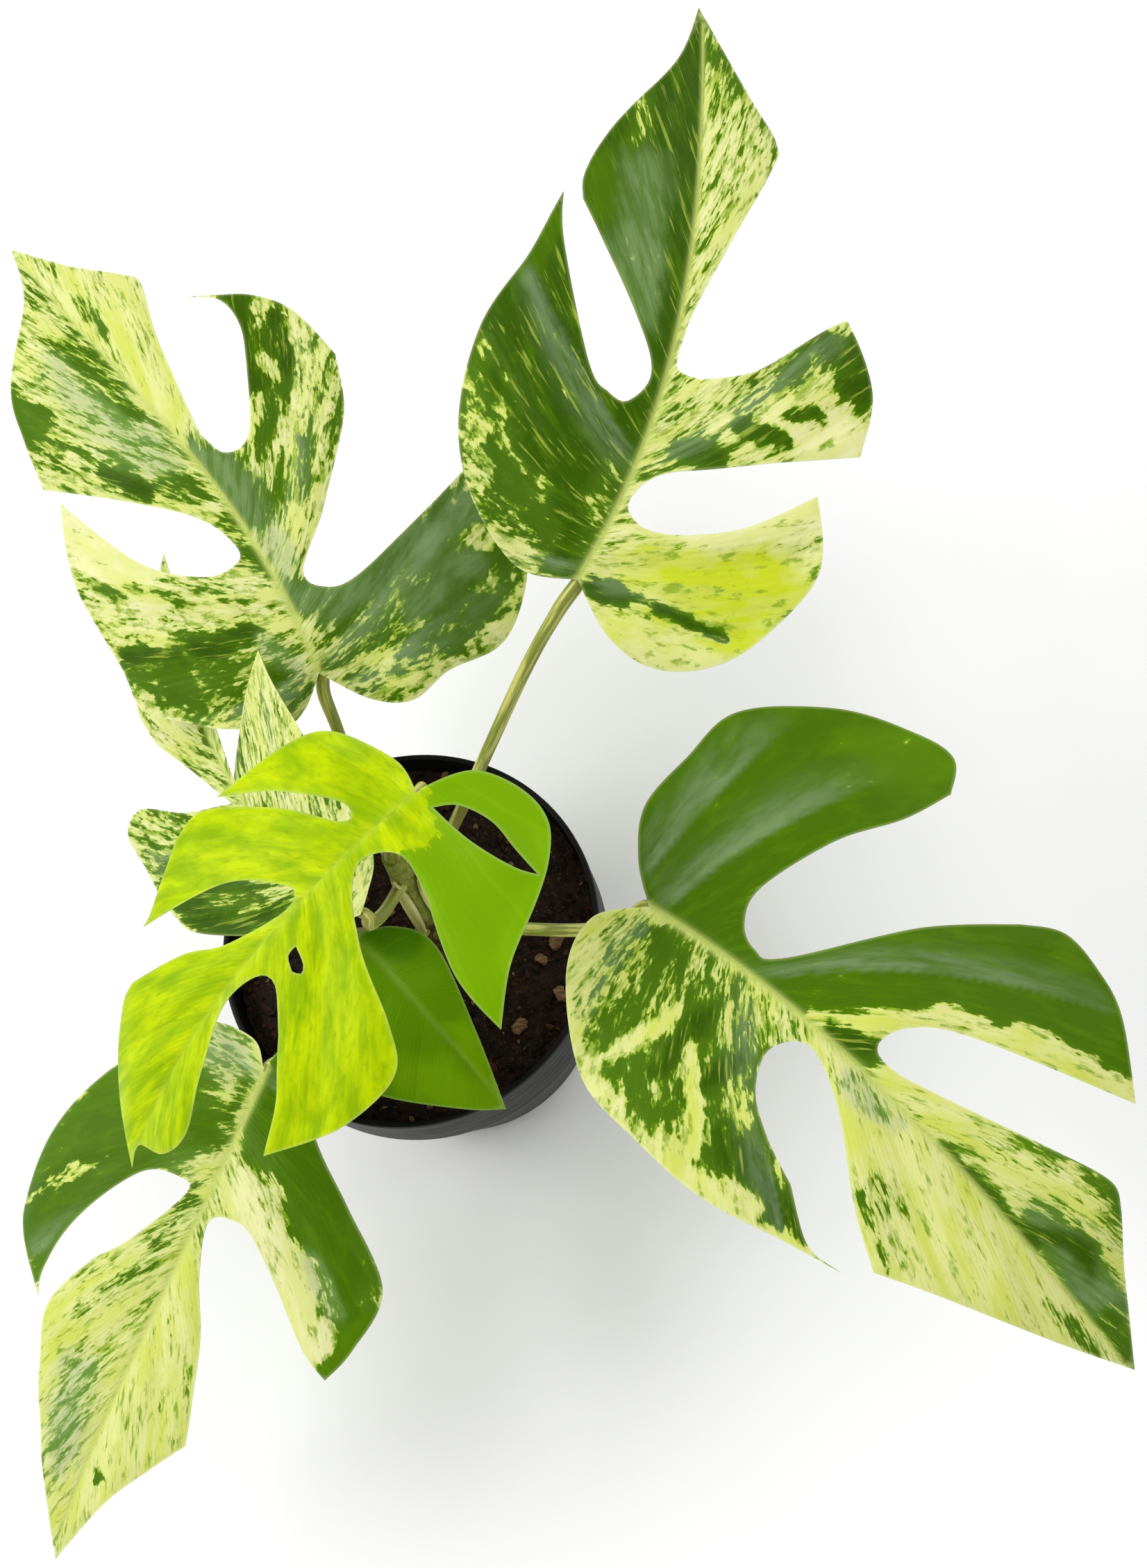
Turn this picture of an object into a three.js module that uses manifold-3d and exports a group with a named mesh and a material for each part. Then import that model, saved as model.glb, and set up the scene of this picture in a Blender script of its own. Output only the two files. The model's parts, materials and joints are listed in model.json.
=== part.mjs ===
// A young variegated vine with split leaves, growing in a round nursery pot of soil.
// Millimetres, +Z up. The origin is the centre of the pot's underside.
import * as THREE from "three";
import { TessellateModifier } from "three/addons/modifiers/TessellateModifier.js";
import { mergeVertices } from "three/addons/utils/BufferGeometryUtils.js";
import Module from "manifold-3d";

const wasm = await Module();
wasm.setup();

// Pot
const POT_HEIGHT = 82;
const RIM_DIAMETER = 110;
const BASE_DIAMETER = 81;
const POT_WALL = 1.2;
const COLLAR_HEIGHT = 22;
const COLLAR_STEP = 0.8;
const LIP_WIDTH = 1.2;
const LIP_HEIGHT = 2.6;
const DRAIN_HOLE_COUNT = 8;
const DRAIN_HOLE_DIAMETER = 9;

// Soil
const SOIL_DROP = 8; // from the rim down to the soil's edge
const SOIL_CROWN = 2.5; // how much higher the soil is in the middle
const SOIL_BUMP = 0.7; // how high its lumps stand
const PLANTED_DEPTH = 22; // how far the stem goes down into it

// Plant
const STEM_DIAMETER = 7;
const PETIOLE_DIAMETER = 3.4;
const LEAF_THICKNESS = 1;
const SHEATH_WIDTH = 4;
const SHEATH_THICKNESS = 1;

const GAP = 0.3; // between pieces that touch
const RIB_WIDTH = 2; // the width over which a leaf's two halves turn into its midrib
const LEAF_MESH_EDGE = 13;

const SOIL_LEVEL = POT_HEIGHT - SOIL_DROP;

const finish = (color, roughness = 0.6, metalness = 0) =>
  new THREE.MeshStandardMaterial({ color, roughness, metalness });
const BLACK_PLASTIC = finish(0x15171a, 0.35);
const SOIL_BROWN = finish(0x2c1d16, 0.95);
const TAN_BARK = finish(0xa98260, 0.9);
const RED_BARK = finish(0x6e3a26, 0.9);
const BROWN_STEM = finish(0x5a3c25, 0.8);
const OLIVE_STALK = finish(0x8d9150, 0.5);
const CREAM_SHEATH = finish(0xd9d3a0, 0.55);
const VARIEGATED = finish(0x9db86a, 0.4);
const LIME_LEAF = finish(0xa6d015, 0.4);
const GREEN_LEAF = finish(0x4f9a1c, 0.4);

const plant = new THREE.Group();
plant.name = "potted_split_leaf_vine";

function addMesh(parent, name, geometry, material) {
  const mesh = new THREE.Mesh(geometry, material);
  mesh.name = name;
  parent.add(mesh);
  return mesh;
}

// Solids for cutting

function toSolid(geometry) {
  const bare = geometry.clone();
  bare.deleteAttribute("normal");
  bare.deleteAttribute("uv");
  const merged = mergeVertices(bare, 1e-4);
  return new wasm.Manifold(
    new wasm.Mesh({
      numProp: 3,
      vertProperties: merged.attributes.position.array,
      triVerts: new Uint32Array(merged.index.array),
    }),
  );
}

function toGeometry(solid) {
  const mesh = solid.getMesh();
  const geometry = new THREE.BufferGeometry();
  geometry.setAttribute("position", new THREE.BufferAttribute(mesh.vertProperties, 3));
  geometry.setIndex(new THREE.BufferAttribute(mesh.triVerts, 1));
  return geometry;
}

// Pot: a tapered wall, a wider collar, and a lip round the top.

const collarBottom = POT_HEIGHT - COLLAR_HEIGHT;
const collarOuter = RIM_DIAMETER / 2 - LIP_WIDTH / 2;
const bodyTopRadius = collarOuter - COLLAR_STEP;

function bodyRadius(z) {
  return THREE.MathUtils.mapLinear(z, 0, collarBottom, BASE_DIAMETER / 2, bodyTopRadius);
}

function innerRadius(z) {
  return z > collarBottom ? collarOuter - POT_WALL : bodyRadius(z) - POT_WALL;
}

function makePot() {
  const lipBottom = POT_HEIGHT - LIP_HEIGHT;
  const shoulder = collarBottom + POT_WALL;
  const profile = [
    [0, 0],
    [BASE_DIAMETER / 2 - POT_WALL, 0],
    [BASE_DIAMETER / 2, POT_WALL],
    [bodyTopRadius, collarBottom],
    [collarOuter, collarBottom],
    [collarOuter, lipBottom],
    [RIM_DIAMETER / 2, lipBottom + LIP_HEIGHT / 4],
    [RIM_DIAMETER / 2, POT_HEIGHT - LIP_HEIGHT / 4],
    [collarOuter, POT_HEIGHT],
    [collarOuter - POT_WALL, POT_HEIGHT - LIP_HEIGHT / 4],
    [collarOuter - POT_WALL, shoulder],
    [bodyTopRadius - POT_WALL, shoulder],
    [bodyRadius(POT_WALL) - POT_WALL, POT_WALL],
    [0, POT_WALL],
  ];
  const wall = toSolid(
    new THREE.LatheGeometry(
      profile.map(([r, z]) => new THREE.Vector2(r, z)),
      64,
    ).rotateX(Math.PI / 2),
  );
  const holeRing = BASE_DIAMETER / 2 - POT_WALL - DRAIN_HOLE_DIAMETER;
  let cut = wall;
  for (let i = 0; i < DRAIN_HOLE_COUNT; i++) {
    const angle = (2 * Math.PI * i) / DRAIN_HOLE_COUNT;
    const hole = new THREE.CylinderGeometry(
      DRAIN_HOLE_DIAMETER / 2,
      DRAIN_HOLE_DIAMETER / 2,
      POT_WALL * 4,
      16,
    );
    hole.rotateX(Math.PI / 2);
    hole.translate(holeRing * Math.cos(angle), holeRing * Math.sin(angle), POT_WALL / 2);
    cut = cut.subtract(toSolid(hole));
  }
  addMesh(plant, "pot", toGeometry(cut), BLACK_PLASTIC);
}

// Soil: it fills the pot, and its lumpy top is highest in the middle.

function soilTop(x, y) {
  const share = Math.min(1, Math.hypot(x, y) / innerRadius(SOIL_LEVEL));
  const lumps = Math.sin(x * 0.31 + 1) * Math.cos(y * 0.27) + Math.sin(x * 0.13 - y * 0.23);
  return SOIL_LEVEL + SOIL_CROWN * (1 - share ** 2) + SOIL_BUMP * lumps * (1 - share ** 6);
}

function makeSoil(stemSocket) {
  const rings = 8;
  const edge = innerRadius(SOIL_LEVEL) - GAP;
  const shoulder = collarBottom + POT_WALL + GAP;
  const points = [[0, POT_WALL + GAP]];
  points.push([innerRadius(POT_WALL + GAP) - GAP, POT_WALL + GAP]);
  points.push([bodyTopRadius - POT_WALL - 2 * GAP, collarBottom]);
  points.push([bodyTopRadius - POT_WALL - 2 * GAP, shoulder]);
  points.push([edge, shoulder]);
  for (let i = rings; i >= 0; i--) points.push([(edge * i) / rings, SOIL_LEVEL]);
  const geometry = new THREE.LatheGeometry(
    points.map(([r, z]) => new THREE.Vector2(r, z)),
    40,
  ).rotateX(Math.PI / 2);
  const position = geometry.attributes.position;
  for (let i = 0; i < position.count; i++) {
    if (position.getZ(i) > SOIL_LEVEL - 1e-3)
      position.setZ(i, soilTop(position.getX(i), position.getY(i)));
  }
  addMesh(plant, "soil", toGeometry(toSolid(geometry).subtract(stemSocket)), SOIL_BROWN);
}

// Bark chips on the soil. Each has its place as a share of the soil's radius and an angle.

const CHIPS = [
  { share: 0.79, angle: -2, length: 7, material: TAN_BARK },
  { share: 0.72, angle: -11, length: 5, material: TAN_BARK },
  { share: 0.77, angle: -40, length: 6, material: TAN_BARK },
  { share: 0.87, angle: -22, length: 6, material: TAN_BARK },
  { share: 0.56, angle: 64, length: 7, material: RED_BARK },
  { share: 0.5, angle: 18, length: 6, material: RED_BARK },
  { share: 0.49, angle: -61, length: 7, material: RED_BARK },
  { share: 0.84, angle: -61, length: 8, material: RED_BARK },
  { share: 0.7, angle: -107, length: 7, material: RED_BARK },
  { share: 0.63, angle: 150, length: 8, material: RED_BARK },
];

function makeChips() {
  const radius = innerRadius(SOIL_LEVEL);
  CHIPS.forEach(({ share, angle, length, material }, i) => {
    const chip = new THREE.DodecahedronGeometry(0.5).scale(length, length * 0.6, length * 0.35);
    const bearing = THREE.MathUtils.degToRad(angle);
    const x = share * radius * Math.cos(bearing);
    const y = share * radius * Math.sin(bearing);
    const mesh = addMesh(plant, `bark_chip_${i + 1}`, chip, material);
    let ground = -Infinity;
    for (const dx of [-0.4, 0, 0.4])
      for (const dy of [-0.4, 0, 0.4])
        ground = Math.max(ground, soilTop(x + dx * length, y + dy * length));
    mesh.position.set(x, y, ground + GAP + length * 0.175);
    mesh.rotation.z = bearing + i * 1.3;
  });
}

// Tubes: a round section along a smooth path.

function tube(points, radius, sides = 10, spacing = 7) {
  const path = new THREE.CatmullRomCurve3(points);
  const section = new THREE.Shape();
  section.absarc(0, 0, radius, 0, 2 * Math.PI);
  return new THREE.ExtrudeGeometry(section, {
    steps: Math.max(4, Math.round(path.getLength() / spacing)),
    curveSegments: sides,
    bevelEnabled: false,
    extrudePath: path,
  });
}

const overSoil = ([x, y, height]) => new THREE.Vector3(x, y, SOIL_LEVEL + height);

// Stem: it leans from its place in the soil to the newest leaf's stalk.

const STEM_PATH = [[12, -13, -PLANTED_DEPTH], [12, -9, 0], [9, -1, 20], [7, 5, 39], [7, 8, 55]];
const stemPoints = STEM_PATH.map(overSoil);
const grownStem = tube(stemPoints, STEM_DIAMETER / 2 + GAP);

function stemAt(height) {
  const i = STEM_PATH.findIndex((p) => p[2] >= height);
  const [low, high] = [STEM_PATH[i - 1], STEM_PATH[i]];
  const share = (height - low[2]) / (high[2] - low[2]);
  return [0, 1, 2].map((k) => THREE.MathUtils.lerp(low[k], high[k], share));
}

// Leaves. A leaf lies along its own X from its stalk to its tip, with +Y on its left.
// Its outline is a list of smooth runs that meet at its points and its sharp corners.
// arch lifts its middle, fold lifts its halves into a V, cup drops its edges,
// and bow and skew bend the midrib sideways.

const LEAVES = {
  leaf_top: {
    at: [67, 56, 116],
    turn: { heading: 76, pitch: 9, roll: 8 },
    bend: { length: 151, arch: 12, fold: 0.16, cup: 0.3, bow: -12, skew: 4 },
    material: VARIEGATED,
    outline: [
      [[0, 0], [0, 15], [14, 29], [32, 36], [54, 35], [74, 27], [91, 22]],
      [[91, 22], [78, 19], [50, 7], [44, 1], [43, -4], [51, -8], [65, -1], [90, 17]],
      [[90, 17], [97, 18], [111, 14], [133, 3], [151, 1]],
      [[151, 1], [126, -17], [114, -26], [105, -26], [71, -16], [61, -14], [53, -14], [51, -20]],
      [[51, -20], [55, -33], [69, -49], [69, -53], [55, -61], [40, -61]],
      [[40, -61], [31, -29], [28, -17], [24, -11], [18, -9], [14, -17], [18, -36], [29, -53]],
      [[29, -53], [13, -57], [-1, -50], [-13, -38], [-17, -23], [-12, -10], [0, 0]],
    ],
    stalk: [29, [14, 11, 37], [23, 21, 48], [34, 27, 70], [51, 42, 97], [61, 51, 109]],
  },
  leaf_upper_left: {
    at: [-13, 59, 63],
    turn: { heading: 125, pitch: 12, roll: -11 },
    bend: { length: 153, arch: 8, fold: 0.1, cup: 0.45, bow: -8, skew: 5 },
    material: VARIEGATED,
    outline: [
      [[0, 0], [-14, -7], [-21, -16], [-20, -28], [-22, -43], [-15, -56], [-1, -68], [11, -73]],
      [[11, -73], [17, -72], [22, -70]],
      [[22, -70], [17, -49], [14, -25], [17, -16], [24, -14], [34, -29], [51, -48], [67, -56]],
      [[67, -56], [84, -54], [94, -48], [100, -40], [105, -33]],
      [[105, -33], [98, -40], [88, -40], [76, -34], [66, -28], [61, -22], [63, -16], [71, -14]],
      [[71, -14], [101, -20], [117, -25], [123, -22], [135, -12], [153, 0]],
      [[153, 0], [137, 5], [119, 22], [104, 28], [90, 32]],
      [[90, 32], [69, 13], [54, 1], [44, -3], [37, -2], [39, 8], [54, 21], [83, 30]],
      [[83, 30], [64, 40], [37, 44], [24, 47], [15, 40], [5, 31], [-5, 17], [-5, 9], [0, 0]],
    ],
    stalk: [48, [-1, 20, 46], [-7, 35, 45], [-11, 48, 51], [-13, 55, 57]],
  },
  leaf_right: {
    at: [81, -22, 98],
    turn: { heading: -45, pitch: -15, roll: -1 },
    bend: { length: 154, arch: 14, fold: 0.12, cup: 0.3, bow: 5, skew: -2 },
    material: VARIEGATED,
    outline: [
      [[0, 0], [-10, 7], [-18, 18], [-19, 34], [-18, 51], [-1, 68], [17, 76], [28, 77], [33, 69]],
      [[33, 69], [29, 56], [21, 41], [16, 21], [19, 12], [25, 9], [31, 12], [49, 39], [65, 56]],
      [[65, 56], [74, 62], [85, 61], [96, 57], [112, 44]],
      [[112, 44], [100, 39], [72, 27], [62, 19], [60, 12], [65, 10], [77, 13], [115, 26]],
      [[115, 26], [121, 27], [126, 24], [137, 14], [154, 1]],
      [[154, 1], [135, -8], [107, -20], [94, -26]],
      [[94, -26], [80, -18], [63, -5], [49, 1], [43, -6], [47, -15], [56, -21], [67, -25]],
      [[67, -25], [79, -32], [89, -31]],
      [[89, -31], [75, -35], [55, -41], [35, -42], [16, -40], [-3, -25], [-8, -11], [0, 0]],
    ],
    stalk: [17, [25, -6, 35], [44, -13, 53], [60, -20, 74], [72, -24, 89]],
  },
  leaf_lower_left: {
    at: [-27, -46, 48],
    turn: { heading: -120, pitch: -20, roll: -2 },
    bend: { length: 148, arch: 12, fold: 0.08, cup: 0.45, bow: 3, skew: -2 },
    material: VARIEGATED,
    outline: [
      [[0, -1], [-5, -7], [-4, -19], [4, -29], [24, -42], [42, -48], [61, -47], [71, -43], [82, -30]],
      [[82, -30], [75, -32], [57, -28], [38, -17], [34, -6], [37, -3], [54, -11], [63, -18]],
      [[63, -18], [81, -26], [97, -22], [120, -12], [148, 1]],
      [[148, 1], [123, 10], [108, 18], [96, 25]],
      [[96, 25], [70, 18], [53, 10], [41, 6], [37, 11], [39, 20], [57, 41], [63, 51]],
      [[63, 51], [53, 54], [36, 54], [21, 37], [9, 21], [-2, 12], [-9, 7], [-8, 2], [0, -1]],
    ],
    stalk: [22, [3, -12, 24], [-9, -26, 25], [-19, -37, 29]],
  },
  leaf_front: {
    at: [33, -3, 135],
    turn: { heading: -136, pitch: -22, roll: -2 },
    bend: { length: 118, arch: 12, fold: 0.1, cup: 0.5, bow: -3, skew: -1 },
    material: LIME_LEAF,
    outline: [
      [[0, 0], [-2, -9], [3, -25], [13, -32], [33, -37]],
      [[33, -37], [22, -26], [13, -12], [13, -7], [16, -8], [23, -21], [37, -37], [47, -38]],
      [[47, -38], [62, -31], [67, -30]],
      [[67, -30], [45, -20], [35, -8], [35, -4], [41, -4], [55, -10], [64, -17], [79, -24]],
      [[79, -24], [86, -23], [101, -15], [118, 0]],
      [[118, 0], [111, -1], [107, 6], [97, 9], [82, 4], [66, -1], [55, 1], [53, 6], [61, 14]],
      [[61, 14], [72, 22], [86, 28]],
      [[86, 28], [68, 38], [51, 40], [42, 32], [33, 15], [23, 4], [17, 3], [12, 9], [15, 20]],
      [[15, 20], [24, 36], [27, 51]],
      [[27, 51], [15, 44], [-7, 34], [-15, 23], [-12, 7], [0, 0]],
    ],
    holes: [
      [[[0, 6], [-4, 10], [-6, 18], [-5, 26], [-4, 34]], [[-4, 34], [-2, 29], [0, 17], [0, 6]]],
      [[[43, 4], [46, 4], [48, 7]], [[48, 7], [47, 9], [45, 8], [43, 4]]],
    ],
    stalk: [55, [12, 9, 76], [21, 6, 100], [29, 0, 121]],
  },
  leaf_small: {
    at: [-9, -7, 35],
    turn: { heading: -49, pitch: -13, roll: 0 },
    bend: { length: 63, arch: 5, fold: 0.1, cup: 0.4, bow: 1, skew: 0 },
    material: GREEN_LEAF,
    outline: [
      [[0, 0], [6, 10], [18, 15], [42, 8], [63, 0]],
      [[63, 0], [56, -8], [39, -22], [26, -27], [9, -22], [-1, -9], [0, 0]],
    ],
    stalk: [12, [4, -4, 22], [-4, -5, 28]],
  },
  leaf_back: {
    at: [1, -10, 63],
    turn: { heading: 120, pitch: -9, roll: -33 },
    bend: { length: 140, arch: 4, fold: 0.35, cup: 0.1, bow: 14, skew: -4 },
    material: VARIEGATED,
    outline: [
      [[0, 0], [4, -16], [18, -24], [42, -23], [70, -25]],
      [[70, -25], [66, -3], [60, 13]],
      [[60, 13], [85, 7], [97, 3], [140, 0]],
      [[140, 0], [110, 25], [91, 28], [76, 24], [55, 17]],
      [[55, 17], [63, 30], [74, 41], [71, 48], [59, 48], [39, 46], [28, 41], [8, 17], [0, 0]],
    ],
    stalk: [42, [4, -6, 51], [2, -11, 58]],
  },
};

function loopThrough(runs, loop) {
  loop.moveTo(...runs[0][0]);
  for (const run of runs) loop.splineThru(run.slice(1).map(([x, y]) => new THREE.Vector2(x, y)));
  return loop;
}

function bladeHeight(x, y, { length, arch, fold, cup, bow, skew }) {
  const share = x / length;
  const hump = 4 * share * (1 - share);
  const across = y - hump * (bow + skew * (2 * share - 1));
  const away = Math.hypot(across, RIB_WIDTH) - RIB_WIDTH;
  return arch * hump + fold * away - (cup * across ** 2) / 100;
}

function bladeGeometry({ outline, holes = [], bend }) {
  const shape = loopThrough(outline, new THREE.Shape());
  shape.holes = holes.map((runs) => loopThrough(runs, new THREE.Path()));
  const flat = new THREE.ExtrudeGeometry(shape, {
    depth: LEAF_THICKNESS,
    curveSegments: 2,
    bevelEnabled: false,
  }).translate(0, 0, -LEAF_THICKNESS / 2);
  const fine = new TessellateModifier(LEAF_MESH_EDGE, 12).modify(flat);
  const position = fine.attributes.position;
  for (let i = 0; i < position.count; i++) {
    const height = bladeHeight(position.getX(i), position.getY(i), bend);
    position.setZ(i, position.getZ(i) + height);
  }
  fine.computeVertexNormals();
  return fine;
}

function makeLeaf(name, leaf) {
  const { heading, pitch, roll } = leaf.turn;
  const group = new THREE.Group();
  group.position.copy(overSoil(leaf.at));
  group.rotation.order = "ZYX";
  group.rotation.x = THREE.MathUtils.degToRad(roll);
  group.rotation.y = -THREE.MathUtils.degToRad(pitch);
  group.rotation.z = THREE.MathUtils.degToRad(heading);
  group.updateMatrixWorld(true);
  plant.add(group);
  addMesh(group, name, bladeGeometry(leaf), leaf.material);
  return group;
}

// A stalk grows from the stem at a height and ends against the underside of its leaf.

function stalkPoints(leaf, group) {
  const [start, ...rest] = leaf.stalk;
  const under = LEAF_THICKNESS / 2 + PETIOLE_DIAMETER / 2 + 2 * GAP;
  const end = group.localToWorld(new THREE.Vector3(1, 0, -under));
  return [overSoil(stemAt(start)), ...rest.map(overSoil), end];
}

// Sheaths: the pale halves of old stalk bases, which hug the stem.

const SHEATHS = [
  { from: 24, to: 50, facing: -98 },
  { from: 27, to: 46, facing: -2 },
];

function makeSheaths(taken) {
  const radius = STEM_DIAMETER / 2 + GAP + SHEATH_THICKNESS;
  const sleeve = toSolid(tube(stemPoints.slice(1), radius)).subtract(taken);
  SHEATHS.forEach(({ from, to, facing }, i) => {
    const low = overSoil(stemAt(from));
    const high = overSoil(stemAt(to));
    const along = high.clone().sub(low);
    const bearing = THREE.MathUtils.degToRad(facing);
    const up = along.clone().normalize();
    const side = new THREE.Vector3(-Math.sin(bearing), Math.cos(bearing), 0);
    side.projectOnPlane(up).normalize();
    const out = side.clone().cross(up);
    const box = new THREE.BoxGeometry(SHEATH_WIDTH, STEM_DIAMETER * 2, along.length());
    box.translate(0, STEM_DIAMETER, 0);
    box.applyMatrix4(new THREE.Matrix4().makeBasis(side.negate(), out, up));
    box.translate(...low.add(high).multiplyScalar(0.5));
    const strip = sleeve.intersect(toSolid(box));
    addMesh(plant, `sheath_${i + 1}`, toGeometry(strip), CREAM_SHEATH);
  });
}

function makePlant() {
  let taken = toSolid(grownStem);
  const stem = toSolid(tube(stemPoints, STEM_DIAMETER / 2));
  addMesh(plant, "stem", toGeometry(stem), BROWN_STEM);
  for (const [name, leaf] of Object.entries(LEAVES)) {
    const group = makeLeaf(name, leaf);
    const points = stalkPoints(leaf, group);
    const stalk = toSolid(tube(points, PETIOLE_DIAMETER / 2)).subtract(taken);
    addMesh(plant, name.replace("leaf", "petiole"), toGeometry(stalk), OLIVE_STALK);
    taken = taken.add(toSolid(tube(points, PETIOLE_DIAMETER / 2 + GAP)));
  }
  makeSheaths(taken);
}

makePot();
makeSoil(toSolid(grownStem));
makeChips();
makePlant();

export default plant;
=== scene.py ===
"""A young variegated vine with split leaves in a black nursery pot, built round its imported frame."""

import json
import math
import random
from collections import namedtuple

import bpy
import numpy as np
from mathutils import Euler, Matrix, Vector, noise
from mathutils.geometry import delaunay_2d_cdt

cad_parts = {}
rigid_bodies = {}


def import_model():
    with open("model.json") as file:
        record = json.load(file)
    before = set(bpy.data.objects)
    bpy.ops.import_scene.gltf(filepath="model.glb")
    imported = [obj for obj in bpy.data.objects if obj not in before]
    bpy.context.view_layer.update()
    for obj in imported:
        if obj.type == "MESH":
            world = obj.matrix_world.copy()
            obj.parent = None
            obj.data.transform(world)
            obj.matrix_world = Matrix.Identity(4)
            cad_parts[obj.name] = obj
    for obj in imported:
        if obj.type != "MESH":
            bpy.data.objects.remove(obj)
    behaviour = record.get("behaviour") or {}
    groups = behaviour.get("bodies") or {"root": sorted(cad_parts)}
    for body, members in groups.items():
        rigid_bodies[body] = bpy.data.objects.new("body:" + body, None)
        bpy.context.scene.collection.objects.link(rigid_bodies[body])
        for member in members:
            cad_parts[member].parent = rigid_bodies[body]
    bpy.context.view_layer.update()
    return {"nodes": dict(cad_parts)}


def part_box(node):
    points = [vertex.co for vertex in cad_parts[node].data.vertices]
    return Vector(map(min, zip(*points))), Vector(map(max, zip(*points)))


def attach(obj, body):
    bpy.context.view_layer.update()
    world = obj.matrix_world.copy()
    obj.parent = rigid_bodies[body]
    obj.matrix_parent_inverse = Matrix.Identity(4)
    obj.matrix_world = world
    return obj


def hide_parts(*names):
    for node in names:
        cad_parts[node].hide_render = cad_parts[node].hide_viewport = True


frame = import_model()

MM = 0.001
SEED = 11

noise.seed_set(SEED)     # noise.noise_vector follows the clock until it is seeded

# ---------------------------------------------------------------- sizes, in millimetres

RIM_DIAMETER = 110
BASE_DIAMETER = 81
POT_WALL = 1.2
FLOOR_RISE = 1.2         # from the foot of the pot to the underside of its floor
COLLAR_HEIGHT = 22
COLLAR_STEP = 0.8
LIP_WIDTH = 1.2
LIP_HEIGHT = 2.6
DRAIN_HOLE_COUNT = 8
DRAIN_HOLE_DIAMETER = 9

SOIL_DROP = 8
SOIL_CROWN = 2.5         # how much higher the soil is in the middle
SOIL_BUMP = 0.7
CRUMB_COUNT = 1500
CRUMB_SHAPE = ((0.8, 1.5), (0.6, 1), (0.45, 0.8))  # its length, width and height by its size

STEM_DIAMETER = 7
PETIOLE_DIAMETER = 3.4
BLADE_THICKNESS = 0.55
MARGIN_THICKNESS = 0.22
RIB_WIDTH = 2
GAP = 0.3

BLADE_STEP = 1.35        # spacing of a leaf's mesh
RIB_ROWS = (-1.9, -1.15, -0.55, 0, 0.55, 1.15, 1.9)  # the mesh's rows beside the midrib
RIB_GROOVE = 0.28        # depth of the groove over the midrib
RIB_KEEL = 1.15          # how far the midrib stands out beneath
RIPPLE = 2.0             # how far a blade wanders up and down over its length
FLUTTER = 0.8            # and over a lobe's width
QUILT = 0.30             # how far the skin swells between two side veins
BROAD_QUILT = 0.75       # and over a wider span of them
CREASE_DEPTH = 2.0       # of the fold along a lobe's long vein
CREASE_WIDTH = 6
LOBE_VEINS = (-4, 4, 31)  # where the long veins that run down the lobes leave the midrib
VEIN_SPACING = 7.5       # between a leaf's side veins
VEIN_TURN = -0.05        # how the side veins leave the midrib, at its base
VEIN_FAN = 0.024         # how much more they turn towards the tip, per millimetre
VEIN_CURVE = 0.003       # how they curve forward on their way out, at its base
VEIN_CURVE_FAN = 0.00025 # how much more they curve towards the tip

POT_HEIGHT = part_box("pot")[1].z / MM
SOIL_LEVEL = POT_HEIGHT - SOIL_DROP

STEM_PATH = [(12, -13, -22), (12, -9, 0), (9, -1, 20), (7, 5, 39), (7, 8, 55)]  # up from inside the soil
STEM_RINGS = (5, 14, 24, 33, 43)
CORK_HEIGHT = 31         # where the stem turns from corky to green

# ---------------------------------------------------------------- leaf tones
# How much of the tissue is green, how deep that green is, how lime the pale tissue is, and
# how much painted grey sheen lies over it.

TONES = {
    "cream": (0.02, 0.5, 0.10, 0.0),
    "butter": (0.06, 0.4, 0.50, 0.0),
    "lime": (0.10, 0.1, 1.00, 0.0),
    "hazy": (0.20, 0.2, 0.55, 0.15),
    "flecked": (0.32, 0.6, 0.25, 0.0),
    "speckled": (0.40, 0.7, 0.30, 0.1),
    "marbled": (0.57, 0.6, 0.35, 0.05),
    "streaked": (0.64, 0.7, 0.40, 0.05),
    # these two tones lay a strong painted grey sheen, a painted reflection, over the tissue
    "sheened": (0.88, 0.6, 0.3, 0.8),
    "silver_sheen": (0.40, 0.2, 0.05, 1.0),
    "green": (1.0, 0.65, 0.2, 0.0),
    "deep": (1.0, 0.95, 0.2, 0.0),
    "dark": (0.90, 1.0, 0.2, 0.0),
    "leafy": (1.0, 0.0, 0.5, 0.0),
    "grassy": (1.0, 0.35, 0.5, 0.0),
}

# ---------------------------------------------------------------- the leaves
# A leaf lies along its own X from its stalk to its tip, with +Y on its left. It is turned by
# a heading, a pitch and a roll in degrees, and its height is over the soil. Its outline is a
# list of smooth runs that meet at its sharp corners. Its stalk leaves the stem at a height
# and passes through some points. Its halves, left and right, have a tone each. A patch is a
# streak of another tone, from one point to another and with a half width, on the half of
# the leaf that it lies in.
# A bend holds the leaf's length, the rise of its arch, how much its halves fold up and curl
# down, and how far its midrib bows and leans to the side.

Bend = namedtuple("Bend", "length arch fold curl bow lean")

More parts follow.
